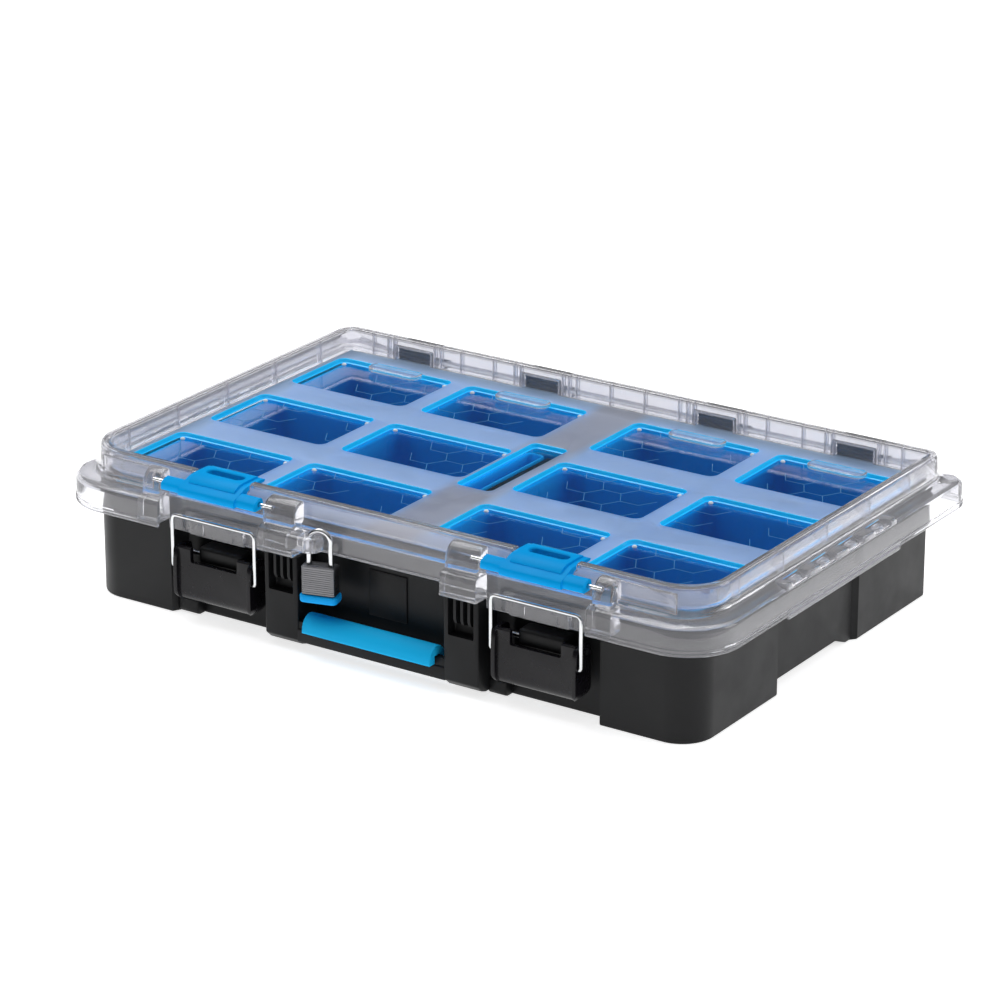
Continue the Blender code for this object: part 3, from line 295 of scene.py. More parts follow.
def box(name, low, high, paint, bevel=0.0, steps=3):
    mesh_data = bmesh.new()
    bmesh.ops.create_cube(mesh_data, size=1.0)
    size = (Vector(high) - Vector(low)) * MM
    middle = (Vector(high) + Vector(low)) / 2 * MM
    for vertex in mesh_data.verts:
        vertex.co = Vector(a * b for a, b in zip(vertex.co, size)) + middle
    if bevel:
        bmesh.ops.bevel(
            mesh_data,
            geom=mesh_data.edges[:],
            offset=bevel * MM,
            segments=steps,
            affect="EDGES",
            profile=0.5,
        )
    return to_object(name, mesh_data, paint)


def prism(name, outline, x_low, x_high, paint):
    """An outline of (y, z) points, extruded along X."""
    return loft(name, [[(x, y, z) for y, z in outline] for x in (x_low, x_high)], paint)


def rod(name, start, end, radius, paint, sides=24):
    start, end = Vector(start), Vector(end)
    along = (end - start).normalized()
    side = along.orthogonal().normalized()
    other = along.cross(side)
    rings = []
    for centre in (start, end):
        turn = [2 * math.pi * step / sides for step in range(sides)]
        rings.append([centre + radius * (side * math.cos(a) + other * math.sin(a)) for a in turn])
    return loft(name, rings, paint)


def round_bevel(thing, width, steps=3, angle=35):
    modifier = thing.modifiers.new("soft_edges", "BEVEL")
    modifier.width = width * MM
    modifier.segments = steps
    modifier.limit_method = "ANGLE"
    modifier.angle_limit = math.radians(angle)
    return settle(thing)


def settle(thing):
    """Replaces the mesh by what its modifiers make of it."""
    bpy.context.view_layer.update()
    graph = bpy.context.evaluated_depsgraph_get()
    made = bpy.data.meshes.new_from_object(thing.evaluated_get(graph))
    thing.modifiers.clear()
    thing.data = made
    made.shade_smooth()
    made.set_sharp_from_angle(angle=math.radians(32))
    return thing


def combine(thing, others, operation):
    for other in others:
        modifier = thing.modifiers.new("combine", "BOOLEAN")
        modifier.operation = operation
        modifier.solver = "EXACT"
        modifier.object = other
    settle(thing)
    for other in others:
        bpy.data.objects.remove(other, do_unlink=True)
    return thing


def add(thing, *others):
    return combine(thing, others, "UNION")


def cut(thing, *others):
    return combine(thing, others, "DIFFERENCE")


def merge(name, things, paint=None):
    """Several separate solids as one object."""
    mesh_data = bmesh.new()
    for thing in things:
        thing.data.transform(thing.matrix_world)
        mesh_data.from_mesh(thing.data)
    mesh = bpy.data.meshes.new(name)
    mesh_data.to_mesh(mesh)
    mesh_data.free()
    mesh.materials.append(paint or things[0].data.materials[0])
    for thing in things:
        bpy.data.objects.remove(thing, do_unlink=True)
    made = bpy.data.objects.new(name, mesh)
    bpy.context.scene.collection.objects.link(made)
    mesh.shade_smooth()
    mesh.set_sharp_from_angle(angle=math.radians(32))
    return made


def part(thing, body, slot, *nodes):
    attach(thing, body)
    if nodes:
        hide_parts(*nodes)
    return thing


# ---------------------------------------------------------------- base
def base_outline(inset):
    """Plan of the base: proud round front corners, a recessed front wall and sides that step in."""
    half_x, half_front, back = 251.8 - inset, 254.8 - inset, 163.4 - inset
    front, recess = -165.5 + inset, -153.2 + inset
    radius, tight = 25.0 - inset, 4.0 - inset
    right = [(174.0 + 0.6 * inset, recess), (181.0 + 0.6 * inset, front)]
    for cx, cy, radius, start in (
        (half_front - radius, front + radius, radius, -90),
        (half_x - tight, back - tight, tight, 0),
    ):
        if start == 0:
            step_in = 3.5
            right += [
                (half_front, -56.0), (half_x - step_in, -52.0), (half_x - step_in, 58.0), (half_x, 62.0)
            ]
        for step in range(17):
            angle = math.radians(start + 90 * step / 16)
            right.append((cx + radius * math.cos(angle), cy + radius * math.sin(angle)))
    return right + [(-x, y) for x, y in reversed(right)]


def make_base():
    under, floor = 8.6, 11.2
    rings = [
        level(base_outline(2.6), under),
        level(base_outline(2.6), 0.4),
        level(base_outline(2.2), 0.0),
        level(base_outline(1.2), 0.0),
        level(base_outline(0.4), 0.5),
        level(base_outline(0.0), 1.6),
        level(base_outline(0.0), 87.2),
        level(base_outline(0.8), 88.0),
        level(base_outline(2.5), 88.0),
        level(base_outline(2.5), floor),
    ]
    base = loft("base_shell", rings, BLACK)
    notches = []
    for side in (-1, 1):
        outline = [(-52.0, -2.0), (-51.0, 7.0), (36.0, 7.0), (58.0, -2.0)]
        low, high = sorted((side * 240.0, side * 256.0))
        notches.append(prism("side_notch", outline, low, high, BLACK))
    cut(base, *notches)

    extras = []
    for side in (-1, 1):
        low, high = sorted((side * 61.5, side * 90.0))
        outline = [
            (-152.0, 3.0), (-166.0, 3.0), (-170.5, 4.6), (-176.0, 9.5), (-176.0, 71.5), (-152.0, 71.5),
        ]
        body = prism("pillar", outline, low, high, BLACK)
        round_bevel(body, 1.1)
        middle = side * 75.75
        pocket = box("pocket", (middle - 10.5, -180, 43), (middle + 10.5, -167.5, 73.5), BLACK, 1.0)
        cut(body, pocket)
        fins = []
        for index in (-1, 0, 1):
            x = middle + index * 5.8
            fin = [(-174.8, 71.2), (-174.8, 55.0), (-173.2, 51.5), (-166.0, 49.0), (-166.0, 71.2)]
            fins.append(prism("fin", fin, x - 1.1, x + 1.1, BLACK))
        add(body, *fins)
        extras.append(body)
    bar = box("handle_bar", (-63.0, -176.0, 8.0), (63.0, -167.5, 18.2), BLACK, 1.2)
    core = box("handle_core", (-63.0, -175.0, 16.0), (63.0, -169.0, 23.5), BLACK, 0.6)
    relief = box("label_relief", (-16.0, -154.4, 32.0), (16.0, -152.0, 66.0), BLACK, 0.4)
    extras += [bar, core, relief]
    for tag, centre in LATCHES:
        extras.append(
            box("bracket", (centre - 19.0, -168.0, 44.2), (centre + 19.0, -152.0, 56.8), BLACK, 2.6, 4)
        )
        low, high = (-178.0, -161.0) if centre < 0 else (88.0, 103.0)
        foot = [
            (-151.5, 0.0), (-158.0, 0.0), (-161.0, 1.2), (-162.0, 4.0), (-162.0, 12.0), (-151.5, 16.0),
        ]
        extras.append(round_bevel(prism("latch_foot", foot, low, high, BLACK), 1.4))
    for x in HINGES:
        extras.append(box("hinge_arm", (x - 8, 162.4, 79.0), (x + 8, HINGE_Y, 86.0), BLACK, 0.5))
        gusset = [(162.4, 62.0), (164.4, 62.0), (177.5, 79.2), (162.4, 80.2)]
        extras.append(prism("gusset", gusset, x - 2, x + 2, BLACK))
        ends = (x - 8, HINGE_Y, HINGE_Z), (x + 8, HINGE_Y, HINGE_Z)
        extras.append(rod("knuckle", *ends, HINGE_R, BLACK, 32))
    extras.append(box("centre_rib", (-2.0, -49.0, 10.5), (12.0, 51.0, 87.0), BLACK, 1.2))
    add(base, *extras)
    part(base, "base", "black_plastic", "base_tub")

    # ribs below the floor
    ribs = []
    for x in RIBS_ACROSS:
        ribs.append(box("rib", (x - 1.5, -150.4, 0.6), (x + 1.5, 160.6, 8.5), BLACK, 0.3, 1))
    for y in RIBS_ALONG:
        ribs.append(box("rib", (-238.0, y - 1.5, 0.6), (238.0, y + 1.5, 8.5), BLACK, 0.3, 1))
    ribs.append(box("pad", (-40.0, -25.0, 0.0), (40.0, 25.0, 8.5), BLACK, 0.8, 2))
    part(merge("base_under_ribs", ribs), "base", "black_plastic")


make_base()


def make_grip():
    outline = []
    for step in range(25):
        angle = math.pi * step / 24
        ripple = 0.12 * math.cos(step * math.pi)
        y = GRIP_Y - (9.5 + ripple) * math.cos(angle)
        outline.append((y, GRIP_Z + (10.6 + ripple) * math.sin(angle)))
    outline += [
        (-163.0, 18.4), (-168.6, 18.4), (-168.6, 23.9), (-175.4, 23.9), (-175.4, 18.4), (-182.0, 18.4),
    ]
    grip = prism("handle_grip_sleeve", outline, -GRIP_HALF, GRIP_HALF, GRIP)
    round_bevel(grip, 0.5, 2, 40)
    part(grip, "base", "grip_rubber", "handle_grip")


make_grip()


# ---------------------------------------------------------------- bins
def tray(name, centre, size_x, size_y, radius):
    half_x, half_y = size_x / 2, size_y / 2
    low, top, wall, draft = 11.5, 88.4, 1.6, 1.2
    steps = 7

    def ring(inset, z, r):
        return level(rrect(half_x - inset, half_y - inset, max(r, 0.6), centre, steps), z)

    rings = [
        ring(draft + 1.6, low, radius - 1.6),
        ring(draft + 0.5, low + 0.5, radius - 0.5),
        ring(draft, low + 1.6, radius),
        ring(0.9, top - 3.8, radius),
        ring(0.1, top - 3.4, radius),
        ring(0.0, top - 0.5, radius),
        ring(0.4, top, radius - 0.4),
        ring(wall - 0.3, top, radius - wall + 0.3),
        ring(wall + 0.1, top - 0.5, radius - wall),
        ring(wall + draft, low + 5.0, radius - wall),
        ring(wall + draft + 1.0, low + 2.6, radius - wall - 1.0),
        ring(wall + draft + 3.0, low + wall, radius - wall - 3.0),
    ]
    part(loft(name + "_shell", rings, BIN, sharp=50), "base", "bin_blue", name)


for row, y in enumerate(BIN_ROWS):
    for column, x in enumerate(BIN_COLUMNS):
        tray(f"bin_row{row + 1}_col{column + 1}", (x, y), 113.0, 100.5, 10.0)
tray("centre_tray", (-10.5, 1.2), 15.8, 98.0, 4.5)


# ---------------------------------------------------------------- lid
WINDOWS = [
    (side * x, y, half_x, 34.5, 6.5)
    for y in (-100.3, 1.2, 102.7)
    for side in (-1, 1)
    for x, half_x in ((74.5, 53.4), (195.4, 52.0))
]
WINDOWS.append((-3.0, 6.5, 14.8, 51.5, 5.0))


def lid_section():
    """The lid's section, outside first, as half width, half depth, corner radius and height."""
    return [
        (251.8, 154.8, 25.8, 94.7),
        (252.6, 155.6, 26.6, 95.0),
        (253.0, 156.0, 27.0, 95.9),
        (253.6, 156.6, 27.6, 110.0),
        (254.2, 157.2, 28.2, 111.4),
        (255.4, 158.4, 29.4, 112.0),
        (258.9, 161.9, 32.9, 112.0),
        (260.6, 163.6, 34.6, 111.5),
        (261.5, 164.5, 35.5, 110.2),
        (262.1, 165.2, 36.0, 98.6),
        (263.0, 166.3, 36.4, 95.4),
        (264.8, 168.7, 37.0, 93.2),
        (267.4, 172.4, 37.9, 91.9),
        (271.2, 178.2, 39.2, 90.7),
        (273.2, 180.6, 40.2, 89.4),
        (274.3, 181.6, 40.8, 87.4),
        (274.5, 181.8, 41.0, 75.6),
        (275.0, 182.3, 41.2, 74.9),
        (275.0, 182.3, 41.2, 74.1),
        (274.3, 181.6, 41.0, 73.4),
        (274.3, 181.6, 41.0, 73.0),
        (275.0, 182.3, 41.2, 72.4),
        (275.0, 182.3, 41.2, 71.1),
        (274.4, 181.8, 41.0, 70.4),
        (273.2, 180.7, 40.4, 70.3),
        (272.6, 179.9, 39.8, 71.2),
        (272.3, 179.6, 39.6, 86.2),
        (271.4, 178.6, 39.0, 87.6),
        (263.4, 167.6, 37.4, 88.7),
        (261.2, 164.6, 35.2, 89.6),
        (259.8, 162.9, 33.7, 91.6),
        (259.2, 162.2, 33.2, 108.6),
        (258.4, 161.4, 32.4, 109.6),
        (256.6, 159.6, 30.4, 109.6),
        (255.8, 158.8, 29.6, 108.8),
        (255.2, 158.2, 29.2, 93.4),
        (254.4, 157.4, 28.4, 92.4),
        (252.0, 155.0, 26.0, 92.2),
    ]


def boss(name, x_low, x_high):
    """A lobe beside a latch: a box below, set back and rounded above."""
    back, hollow = -163.2, -167.0
    lower = [
        (hollow, 72.5), (-180.8, 72.5), (-182.3, 73.4), (-182.3, 75.2), (-181.6, 75.9), (-181.6, 86.8),
        (-180.4, 89.4), (-177.4, 91.0), (hollow, 91.0),
    ]
    upper = [(back, 89.3), (-176.8, 89.3), (-176.8, 97.5)]
    for step in range(1, 13):
        angle = math.radians(180 - 7.5 * step)
        upper.append((-165.5 + 11.3 * math.cos(angle), 97.5 + 12.0 * math.sin(angle)))
    upper.append((back, 109.5))
    low = round_bevel(prism(name + "_low", lower, x_low, x_high, CLEAR), 1.6, 4, 50)
    high = round_bevel(prism(name + "_high", upper, x_low + 1.2, x_high - 1.2, CLEAR), 3.4, 5, 50)
    return [low, high]


def make_lid():
    tabs, ribs = [], []
    rings = []
    for hx, hy, r, z in lid_section():
        # the back corners are much tighter than the front ones
        tight = 13.0 + r - 36.0 if r < 36.6 else 13.6 + (r - 36.5) * 0.25
        rings.append(level(rrect(hx, hy, r, steps=18, back=max(tight, 2.0)), z))
    lid = loft("lid_clear_shell", rings, CLEAR)
    zone = LATCH_X + LATCH_ZONE
    setback, wall_back = -167.6, -165.2
    cut(lid, box("setback", (-zone, -200.0, 60.0), (zone, setback, 130.0), CLEAR))
    parts = [
        box("front_wall", (-zone - 1, setback + 0.1, 77.0), (zone + 1, wall_back, 90.5), CLEAR, 0.7),
        box("front_bead", (-93, -168.9, 76.6), (93, -166.4, 78.6), CLEAR, 0.7),
    ]
    for tag, centre in LATCHES:
        side = 1 if centre > 0 else -1
        parts.append(
            box(
                "latch_wall",
                (centre - LATCH_ZONE - 1, setback, 65.5),
                (centre + LATCH_ZONE + 1, wall_back + 0.3, 90.0),
                CLEAR,
                0.6,
            )
        )
        catch = [
            (wall_back - 0.5, 66.0), (-170.8, 66.0), (-171.3, 68.0), (-172.3, 77.0), (-171.8, 78.5),
            (wall_back - 0.5, 78.5),
        ]
        parts.append(round_bevel(prism("catch", catch, centre - 24, centre + 24, CLEAR), 0.6))
        for offset in (-13.0, 13.0):
            hook = (centre + offset - 2.5, -172.8, 67.0), (centre + offset + 2.5, -166.0, 76.0)
            parts.append(box("hook", *hook, CLEAR, 0.9))
        parts += boss("inner_boss", *sorted((side * 61.5, side * 91.8)))
        parts += boss("outer_boss", *sorted((side * zone, side * 198.0)))
    lug = []
    for inset, z in ((1.8, 80.0), (0.5, 80.6), (0.0, 82.4), (0.0, 88.0), (0.8, 90.2), (2.2, 91.0)):
        ring = [(-64.0, PAD_Y + 8.5 - inset), (-64.0, PAD_Y - 8.5 + inset)]
        for step in range(17):
            angle = math.radians(-90 + 180 * step / 16)
            ring.append((-48.2 + (8.5 - inset) * math.cos(angle), PAD_Y + (8.5 - inset) * math.sin(angle)))
        lug.append(level(ring, z))
    parts.append(loft("lug", lug, CLEAR))
    for side in (-1, 1):
        low, high = sorted((side * 272.6, side * 275.0))
        parts.append(box("side_apron", (low, -78, 68.0), (high, 78, 74.0), CLEAR, 0.8))
        low, high = sorted((side * 191.0, side * 240.0))
        panel = box("panel", (low, -166.4, 93.6), (high, -164.4, 108.6), CLEAR, 0.7, 2)
        hole = box("hole", (low + 2, -168, 95.4), (high - 2, -165.3, 106.8), CLEAR, 0.6, 2)
        tabs.append(cut(panel, hole))
    for x, y, half_x, half_y, radius in WINDOWS:
        pan = [
            level(rrect(half_x + 0.8, half_y + 0.8, radius, (x, y), 8), 89.0),
            level(rrect(half_x + 1.6, half_y + 1.6, radius + 0.8, (x, y), 8), 89.8),
            level(rrect(half_x + 1.8, half_y + 1.8, radius + 1.0, (x, y), 8), 93.4),
        ]
        parts.append(loft("pan", pan, CLEAR))
    for x in HINGES:
        pill = [
            level(rrect(23.5 - inset, 7.6 - inset, 7.5 - inset, (x, 131.5), 8), z)
            for inset, z in ((1.0, 92.6), (0.0, 93.4), (0.0, 95.4), (1.2, 96.4))
        ]
        tabs.append(loft("tab", pill, CLEAR))
        for offset in (-24.5, -19.0, 19.0, 24.5):
            low, high = (x + offset - 0.8, 156.2, 92.6), (x + offset + 0.8, 161.8, 110.6)
            ribs.append(box("rib", low, high, CLEAR, 0.3, 1))
        frame_low, frame_high = (x - 18.0, 154.6, 92.8), (x + 18.0, 156.4, 107.0)
        surround = box("frame", frame_low, frame_high, CLEAR, 0.6, 2)
        inner = box("hole", (x - 16.4, 150.0, 94.3), (x + 16.4, 156.1, 105.4), CLEAR, 0.6, 2)
        tabs.append(cut(surround, inner))
    for x in (-232.0, -150.0, -120.0, -45.0, -15.0, 15.0, 45.0, 120.0, 150.0, 232.0):
        ribs.append(box("rib", (x - 0.7, 156.2, 92.6), (x + 0.7, 161.8, 110.6), CLEAR, 0.3, 1))
    for side in (-1, 1):
        for y in (-118.0, -60.0, 0.0, 60.0, 118.0):
            low, high = sorted((side * 253.2, side * 258.5))
            ribs.append(box("rib", (low, y - 0.7, 92.6), (high, y + 0.7, 110.6), CLEAR, 0.3, 1))
        low, high = sorted((side * 263.0, side * 274.9))
        strip = box("scallops", (low, -80.0, 88.9), (high, 72.0, 94.4), CLEAR, 1.3)
        low, high = sorted((side * 265.4, side * 280.0))
        pockets = []
        for y in POCKETS:
            pockets.append(box("pocket", (low, y - 11.5, 90.2), (high, y + 11.5, 99.0), CLEAR, 1.6))
        parts.append(round_bevel(cut(strip, *pockets), 0.7, 2, 50))
        low, high = sorted((side * 266.6, side * 273.4))
        for y in POCKETS:
            tabs.append(box("lump", (low, y - 5.0, 90.0), (high, y + 5.0, 93.4), CLEAR, 1.5))
    add(lid, *parts)

    cuts = []
    for x, y, half_x, half_y, radius in WINDOWS:
        hollow = [
            level(rrect(half_x - 1.0, half_y - 1.0, radius - 1.0, (x, y), 8), 90.9),
            level(rrect(half_x - 0.2, half_y - 0.2, radius - 0.2, (x, y), 8), 91.5),
            level(rrect(half_x, half_y, radius, (x, y), 8), 94.0),
            level(rrect(half_x + 0.5, half_y + 0.5, radius + 0.5, (x, y), 8), 94.6),
            level(rrect(half_x + 1.3, half_y + 1.3, radius + 1.3, (x, y), 8), 94.9),
        ]
        cuts.append(loft("window", hollow, CLEAR))
    for tag, centre in LATCHES:
        cuts.append(
            box("rim_notch", (centre - 25.5, -169.0, 106.6), (centre + 25.5, -150.0, 115.0), CLEAR)
        )
        ends = (centre - 53, STACK_Y, STACK_Z), (centre + 53, STACK_Y, STACK_Z)
        cuts.append(rod("pin_hole", *ends, 1.8, CLEAR, 16))
    cuts.append(rod("lug_hole", (PAD_X, PAD_Y, 76), (PAD_X, PAD_Y, 96), 3.4, CLEAR, 24))
    for x in HINGES:
        cuts.append(box("hinge_notch", (x - 16.8, 163.2, 60.0), (x + 16.8, 200.0, 92.6), CLEAR))
        cuts.append(box("hinge_window", (x - 16.2, 150.0, 94.6), (x + 16.2, 158.8, 105.2), CLEAR))
    cut(lid, *cuts)

    mesh = lid.data
    mesh.materials.clear()
    for paint in (CLEAR, FROSTED, PANE, PANE_EDGE_GLOW):
        mesh.materials.append(paint)
    # faces sort into clear, the frosted panel with painted light and shade, pane, and window walls with a
    # painted glow
    for face in mesh.polygons:
        x, y, z = (c / MM for c in face.center)
        kind = 0
        if abs(x) < 252.0 and abs(y) < 155.0 and z < 95.2:
            inside = any(
                abs(x - wx) < hx + 1.9 and abs(y - wy) < hy + 1.9 for wx, wy, hx, hy, _ in WINDOWS
            )
            flat = abs(face.normal.z) > 0.9
            if flat and (z > 94.5 or (91.9 < z < 92.5)):
                kind = 1
            elif inside and flat:
                kind = 2
            elif inside:
                kind = 3
        face.material_index = kind
    part(lid, "lid", "clear_plastic", "lid_shell")
    part(merge("lid_ribs", ribs, CLEAR), "lid", "clear_plastic")
    part(merge("lid_tabs", tabs, CLEAR), "lid", "clear_plastic")


make_lid()


TWELFTHS = [math.pi / 6 * step for step in range(12)]


def hexagon_lines():
    """Fine raised lines on the panes: parts of a honeycomb, with some of its sides left out."""
    side, half_width = 15.0, 0.17
    things = []
    for number, (wx, wy, hx, hy, _) in enumerate(WINDOWS[:12]):
        hx, hy = hx - 2.5, hy - 2.5
        for column in range(-3, 4):
            for row in range(-3, 4):
                cx = wx + 1.5 * side * column + 4.0
                cy = wy + math.sqrt(3) * side * (row + 0.5 * (column % 2)) - 3.0
                for edge in range(3):
                    if (column * 7 + row * 5 + edge * 3 + number) % 5 in (0, 3):
                        continue
                    ends = []
                    for corner in (edge, edge + 1):
                        angle = math.radians(60 * corner)
                        ends.append((cx + side * math.cos(angle), cy + side * math.sin(angle)))
                    (x0, y0), (x1, y1) = ends
                    low, high = 0.0, 1.0
                    spans = (x0, x1 - x0, wx, hx), (y0, y1 - y0, wy, hy)
                    for start, delta, middle, half in spans:
                        if abs(delta) < 1e-9:
                            if abs(start - middle) > half:
                                high = -1.0
                            continue
                        edges = (middle - half - start) / delta, (middle + half - start) / delta
                        low, high = max(low, min(edges)), min(high, max(edges))
                    if high - low < 0.1:
                        continue
                    start = Vector((x0 + (x1 - x0) * low, y0 + (y1 - y0) * low, 0))
                    end = Vector((x0 + (x1 - x0) * high, y0 + (y1 - y0) * high, 0))
                    across = Vector((-(end - start).y, (end - start).x, 0)).normalized() * half_width
                    outline = [start + across, start - across, end - across, end + across]
                    flat = [(point.x, point.y) for point in outline]
                    things.append(loft("line", [level(flat, z) for z in (90.95, 91.1)], LINES))
    part(merge("window_line_pattern", things, LINES), "lid", "clear_plastic")
    # painted highlights: white domes at the back corners of each window stand in for glints
    pips = []
    for wx, wy, hx, hy, _ in WINDOWS[:12]:
        for side in (-1, 1):
            middle = (wx + side * (hx - 5.0), wy + hy - 5.0)
            rings = [
                level([(middle[0] + r * math.cos(a), middle[1] + r * math.sin(a)) for a in TWELFTHS], z)
                for r, z in ((1.9, 90.9), (1.8, 91.3), (1.3, 92.0), (0.5, 92.3))
            ]
            pips.append(loft("pip", rings, PIP_GLINTS, sharp=80))
    part(merge("window_pip_glints", pips, PIP_GLINTS), "lid", "clear_plastic")


hexagon_lines()


# ---------------------------------------------------------------- latches, hinges and padlock
def soften(points, times=2):
    """Cuts the corners of a closed outline, so that it runs round."""
    for _ in range(times):
        cornered, points = points, []
        for here, after in zip(cornered, cornered[1:] + cornered[:1]):
            for share in (0.25, 0.75):
                points.append(tuple(a + (b - a) * share for a, b in zip(here, after)))
    return points


def slab(name, outline, y_low, y_high, paint):
    return loft(name, [[(x, y, z) for x, z in outline] for y in (y_low, y_high)], paint)


def tube(name, points, y, radius, paint, sides=16):
    """A wire in one upright plane."""
    rings = []
    for index, (x, z) in enumerate(points):
        x0, z0 = points[max(index - 1, 0)]
        x1, z1 = points[min(index + 1, len(points) - 1)]
        length = math.hypot(x1 - x0, z1 - z0)
        nx, nz = -(z1 - z0) / length, (x1 - x0) / length
        ring = []
        for step in range(sides):
            angle = 2 * math.pi * step / sides
            out = radius * math.cos(angle)
            ring.append((x + nx * out, y + radius * math.sin(angle), z + nz * out))
        rings.append(ring)
    return loft(name, rings, paint, sharp=60)


def make_lever(tag, centre):
    face = [(-171.6, 57.0), (-173.9, 57.0), (-175.0, 55.9), (-175.0, 24.5)]
    for step in range(1, 9):
        angle = math.radians(180 + 11.25 * step)
        face.append((-166.2 + 8.8 * math.cos(angle), 24.0 + 8.9 * math.sin(angle)))
    face += [(-166.0, 17.8), (-168.6, 18.8), (-170.8, 21.5), (-171.6, 26.5)]
    lever = prism("lever", face, centre - 31.5, centre + 31.5, LEVER)
    wings = []
    side_view = [
        (-178.0, 26.0), (-177.4, 20.0), (-172.0, 16.0), (-165.0, 15.6), (-158.6, 21.0), (-158.5, 31.0),
        (-158.5, 54.0), (-162.0, 57.0), (-172.0, 57.0), (-178.0, 53.5),
    ]
    for side in (-1, 1):
        low, high = sorted((centre + side * 30.9, centre + side * 34.0))
        wings.append(prism("wing", soften(side_view), low, high, LEVER))
    add(lever, *wings)
    front = [(-34.2, 61.0), (-34.2, 25.0)]
    for step in range(1, 9):
        angle = math.radians(180 + 11.25 * step)
        front.append((-24.2 + 10.0 * math.cos(angle), 24.6 + 10.0 * math.sin(angle)))
    front += [(-x, z) for x, z in reversed(front)]
    outline = slab("outline", [(centre + x, z) for x, z in front], -190.0, -150.0, LEVER)
    combine(lever, [outline], "INTERSECT")
    cut(
        lever,
        box("notch", (centre - 20.5, -180.0, 46.5), (centre + 20.5, -168.0, 64.0), LEVER, 1.5),
        rod("pin_way", (centre - 40, LEVER_Y, LEVER_Z), (centre + 40, LEVER_Y, LEVER_Z), 2.3, LEVER),
        rod("wire_way", (centre - 40, BAIL_Y, BAIL_Z), (centre - 31, BAIL_Y, BAIL_Z), 1.9, LEVER),
        rod("wire_way", (centre + 31, BAIL_Y, BAIL_Z), (centre + 40, BAIL_Y, BAIL_Z), 1.9, LEVER),
    )
    round_bevel(lever, 0.8, 3, 40)
    part(lever, "lever_" + tag, "lever_plastic", "latch_lever_" + tag)


def make_bail(tag, centre):
    half, top, bottom, foot = BAIL_HALF, 80.0, BAIL_Z, 31.2
    corners = [(-half, bottom, 2.2), (-half, top, 4.0), (half, top, 4.0), (half, bottom, 2.2)]
    nodes = [(-foot, bottom)] + [(x, z) for x, z, _ in corners] + [(foot, bottom)]
    points = [nodes[0]]
    for place, (x, z, radius) in enumerate(corners):
        here = Vector((x, z))
        before = (Vector(nodes[place]) - here).normalized()
        after = (Vector(nodes[place + 2]) - here).normalized()
        middle = here + (before + after) * radius
        first, last = -after * radius, -before * radius
        for step in range(9):
            turn = math.pi / 2 * step / 8
            points.append(tuple(middle + first * math.cos(turn) + last * math.sin(turn)))
    points.append(nodes[-1])
    bail = tube("bail", [(centre + x, z) for x, z in points], BAIL_Y, WIRE_R, STEEL)
    part(bail, "bail_" + tag, "bright_steel", "wire_bail_" + tag)


def make_stack_latch(tag, centre):
    profile = [
        (-145.1, 108.5), (-145.1, 110.4), (-164.0, 110.4), (-169.5, 109.6), (-175.5, 107.0),
        (-181.0, 105.0), (-182.6, 103.4), (-182.6, 99.4), (-181.2, 98.6), (-178.6, 99.2),
        (-176.0, 100.1), (-169.0, 101.0), (-166.0, 106.0), (-164.0, 107.4), (-147.0, 108.0),
    ]
    plate = prism("stack_plate", soften(profile), centre - 24.5, centre + 24.5, LATCH_BLUE)
    hump_side = [
        (-147.2, 109.0), (-147.2, 112.0), (-164.6, 112.0), (-170.4, 111.2), (-175.6, 108.6),
        (-175.6, 105.0), (-166.0, 108.0),
    ]
    hump = prism("stack_hump", soften(hump_side, 1), centre - 20.0, centre + 20.0, LATCH_BLUE)
    bar_side = [
        (-169.8, 106.4), (-173.0, 107.6), (-179.0, 105.6), (-180.8, 103.8), (-180.8, 99.6), (-178.4, 98.8),
        (-171.0, 99.2), (-169.6, 100.8),
    ]
    bar = prism("stack_bar", soften(bar_side), centre - 40.8, centre + 40.8, LATCH_BLUE)
    add(plate, hump, bar)
    slot = loft(
        "slot",
        [
            level(rrect(15.5 + grow, 4.2 + grow, 4.0 + grow, (centre, -158.0), 8), z)
            for grow, z in ((0.0, 95.0), (0.0, 111.2), (0.9, 112.1), (0.9, 116.0))
        ],
        LATCH_BLUE,
    )
    ends = (centre - 50, STACK_Y, STACK_Z), (centre + 50, STACK_Y, STACK_Z)
    cut(plate, slot, rod("pin_way", *ends, 1.8, LATCH_BLUE))
    round_bevel(plate, 0.7, 3, 45)
    part(plate, "stack_" + tag, "latch_blue", "stack_latch_" + tag)


def make_hinge_leaf(index, x):
    ridged = [(161.6, 88.6), (161.6, 104.0), (159.8, 104.0)]
    for step in range(5):
        z = 103.6 - 2.9 * step
        ridged += [(159.0, z - 0.4), (159.0, z - 1.6), (159.9, z - 2.0), (159.9, z - 2.6)]
    ridged.append((159.4, 88.6))
    leaf = prism("leaf", ridged, x - HINGE_HALF, x + HINGE_HALF, RIDGED)
    pieces = [box("shelf", (x - HINGE_HALF, 159.0, 88.5), (x + HINGE_HALF, 169.0, 90.2), RIDGED, 0.3, 1)]
    for low, high in ((x - HINGE_HALF, x - 8.4), (x + 8.4, x + HINGE_HALF)):
        pieces.append(box("prong", (low, 168.0, 86.4), (high, HINGE_Y, 89.8), RIDGED, 0.3, 1))
        ends = (low, HINGE_Y, HINGE_Z), (high, HINGE_Y, HINGE_Z)
        pieces.append(rod("knuckle", *ends, HINGE_R, RIDGED, 36))
    add(leaf, *pieces)
    cut(leaf, rod("way", (x - 20, HINGE_Y, HINGE_Z), (x + 20, HINGE_Y, HINGE_Z), 2.7, RIDGED, 24))
    part(leaf, "lid", "black_plastic", f"hinge_leaf_{index}")


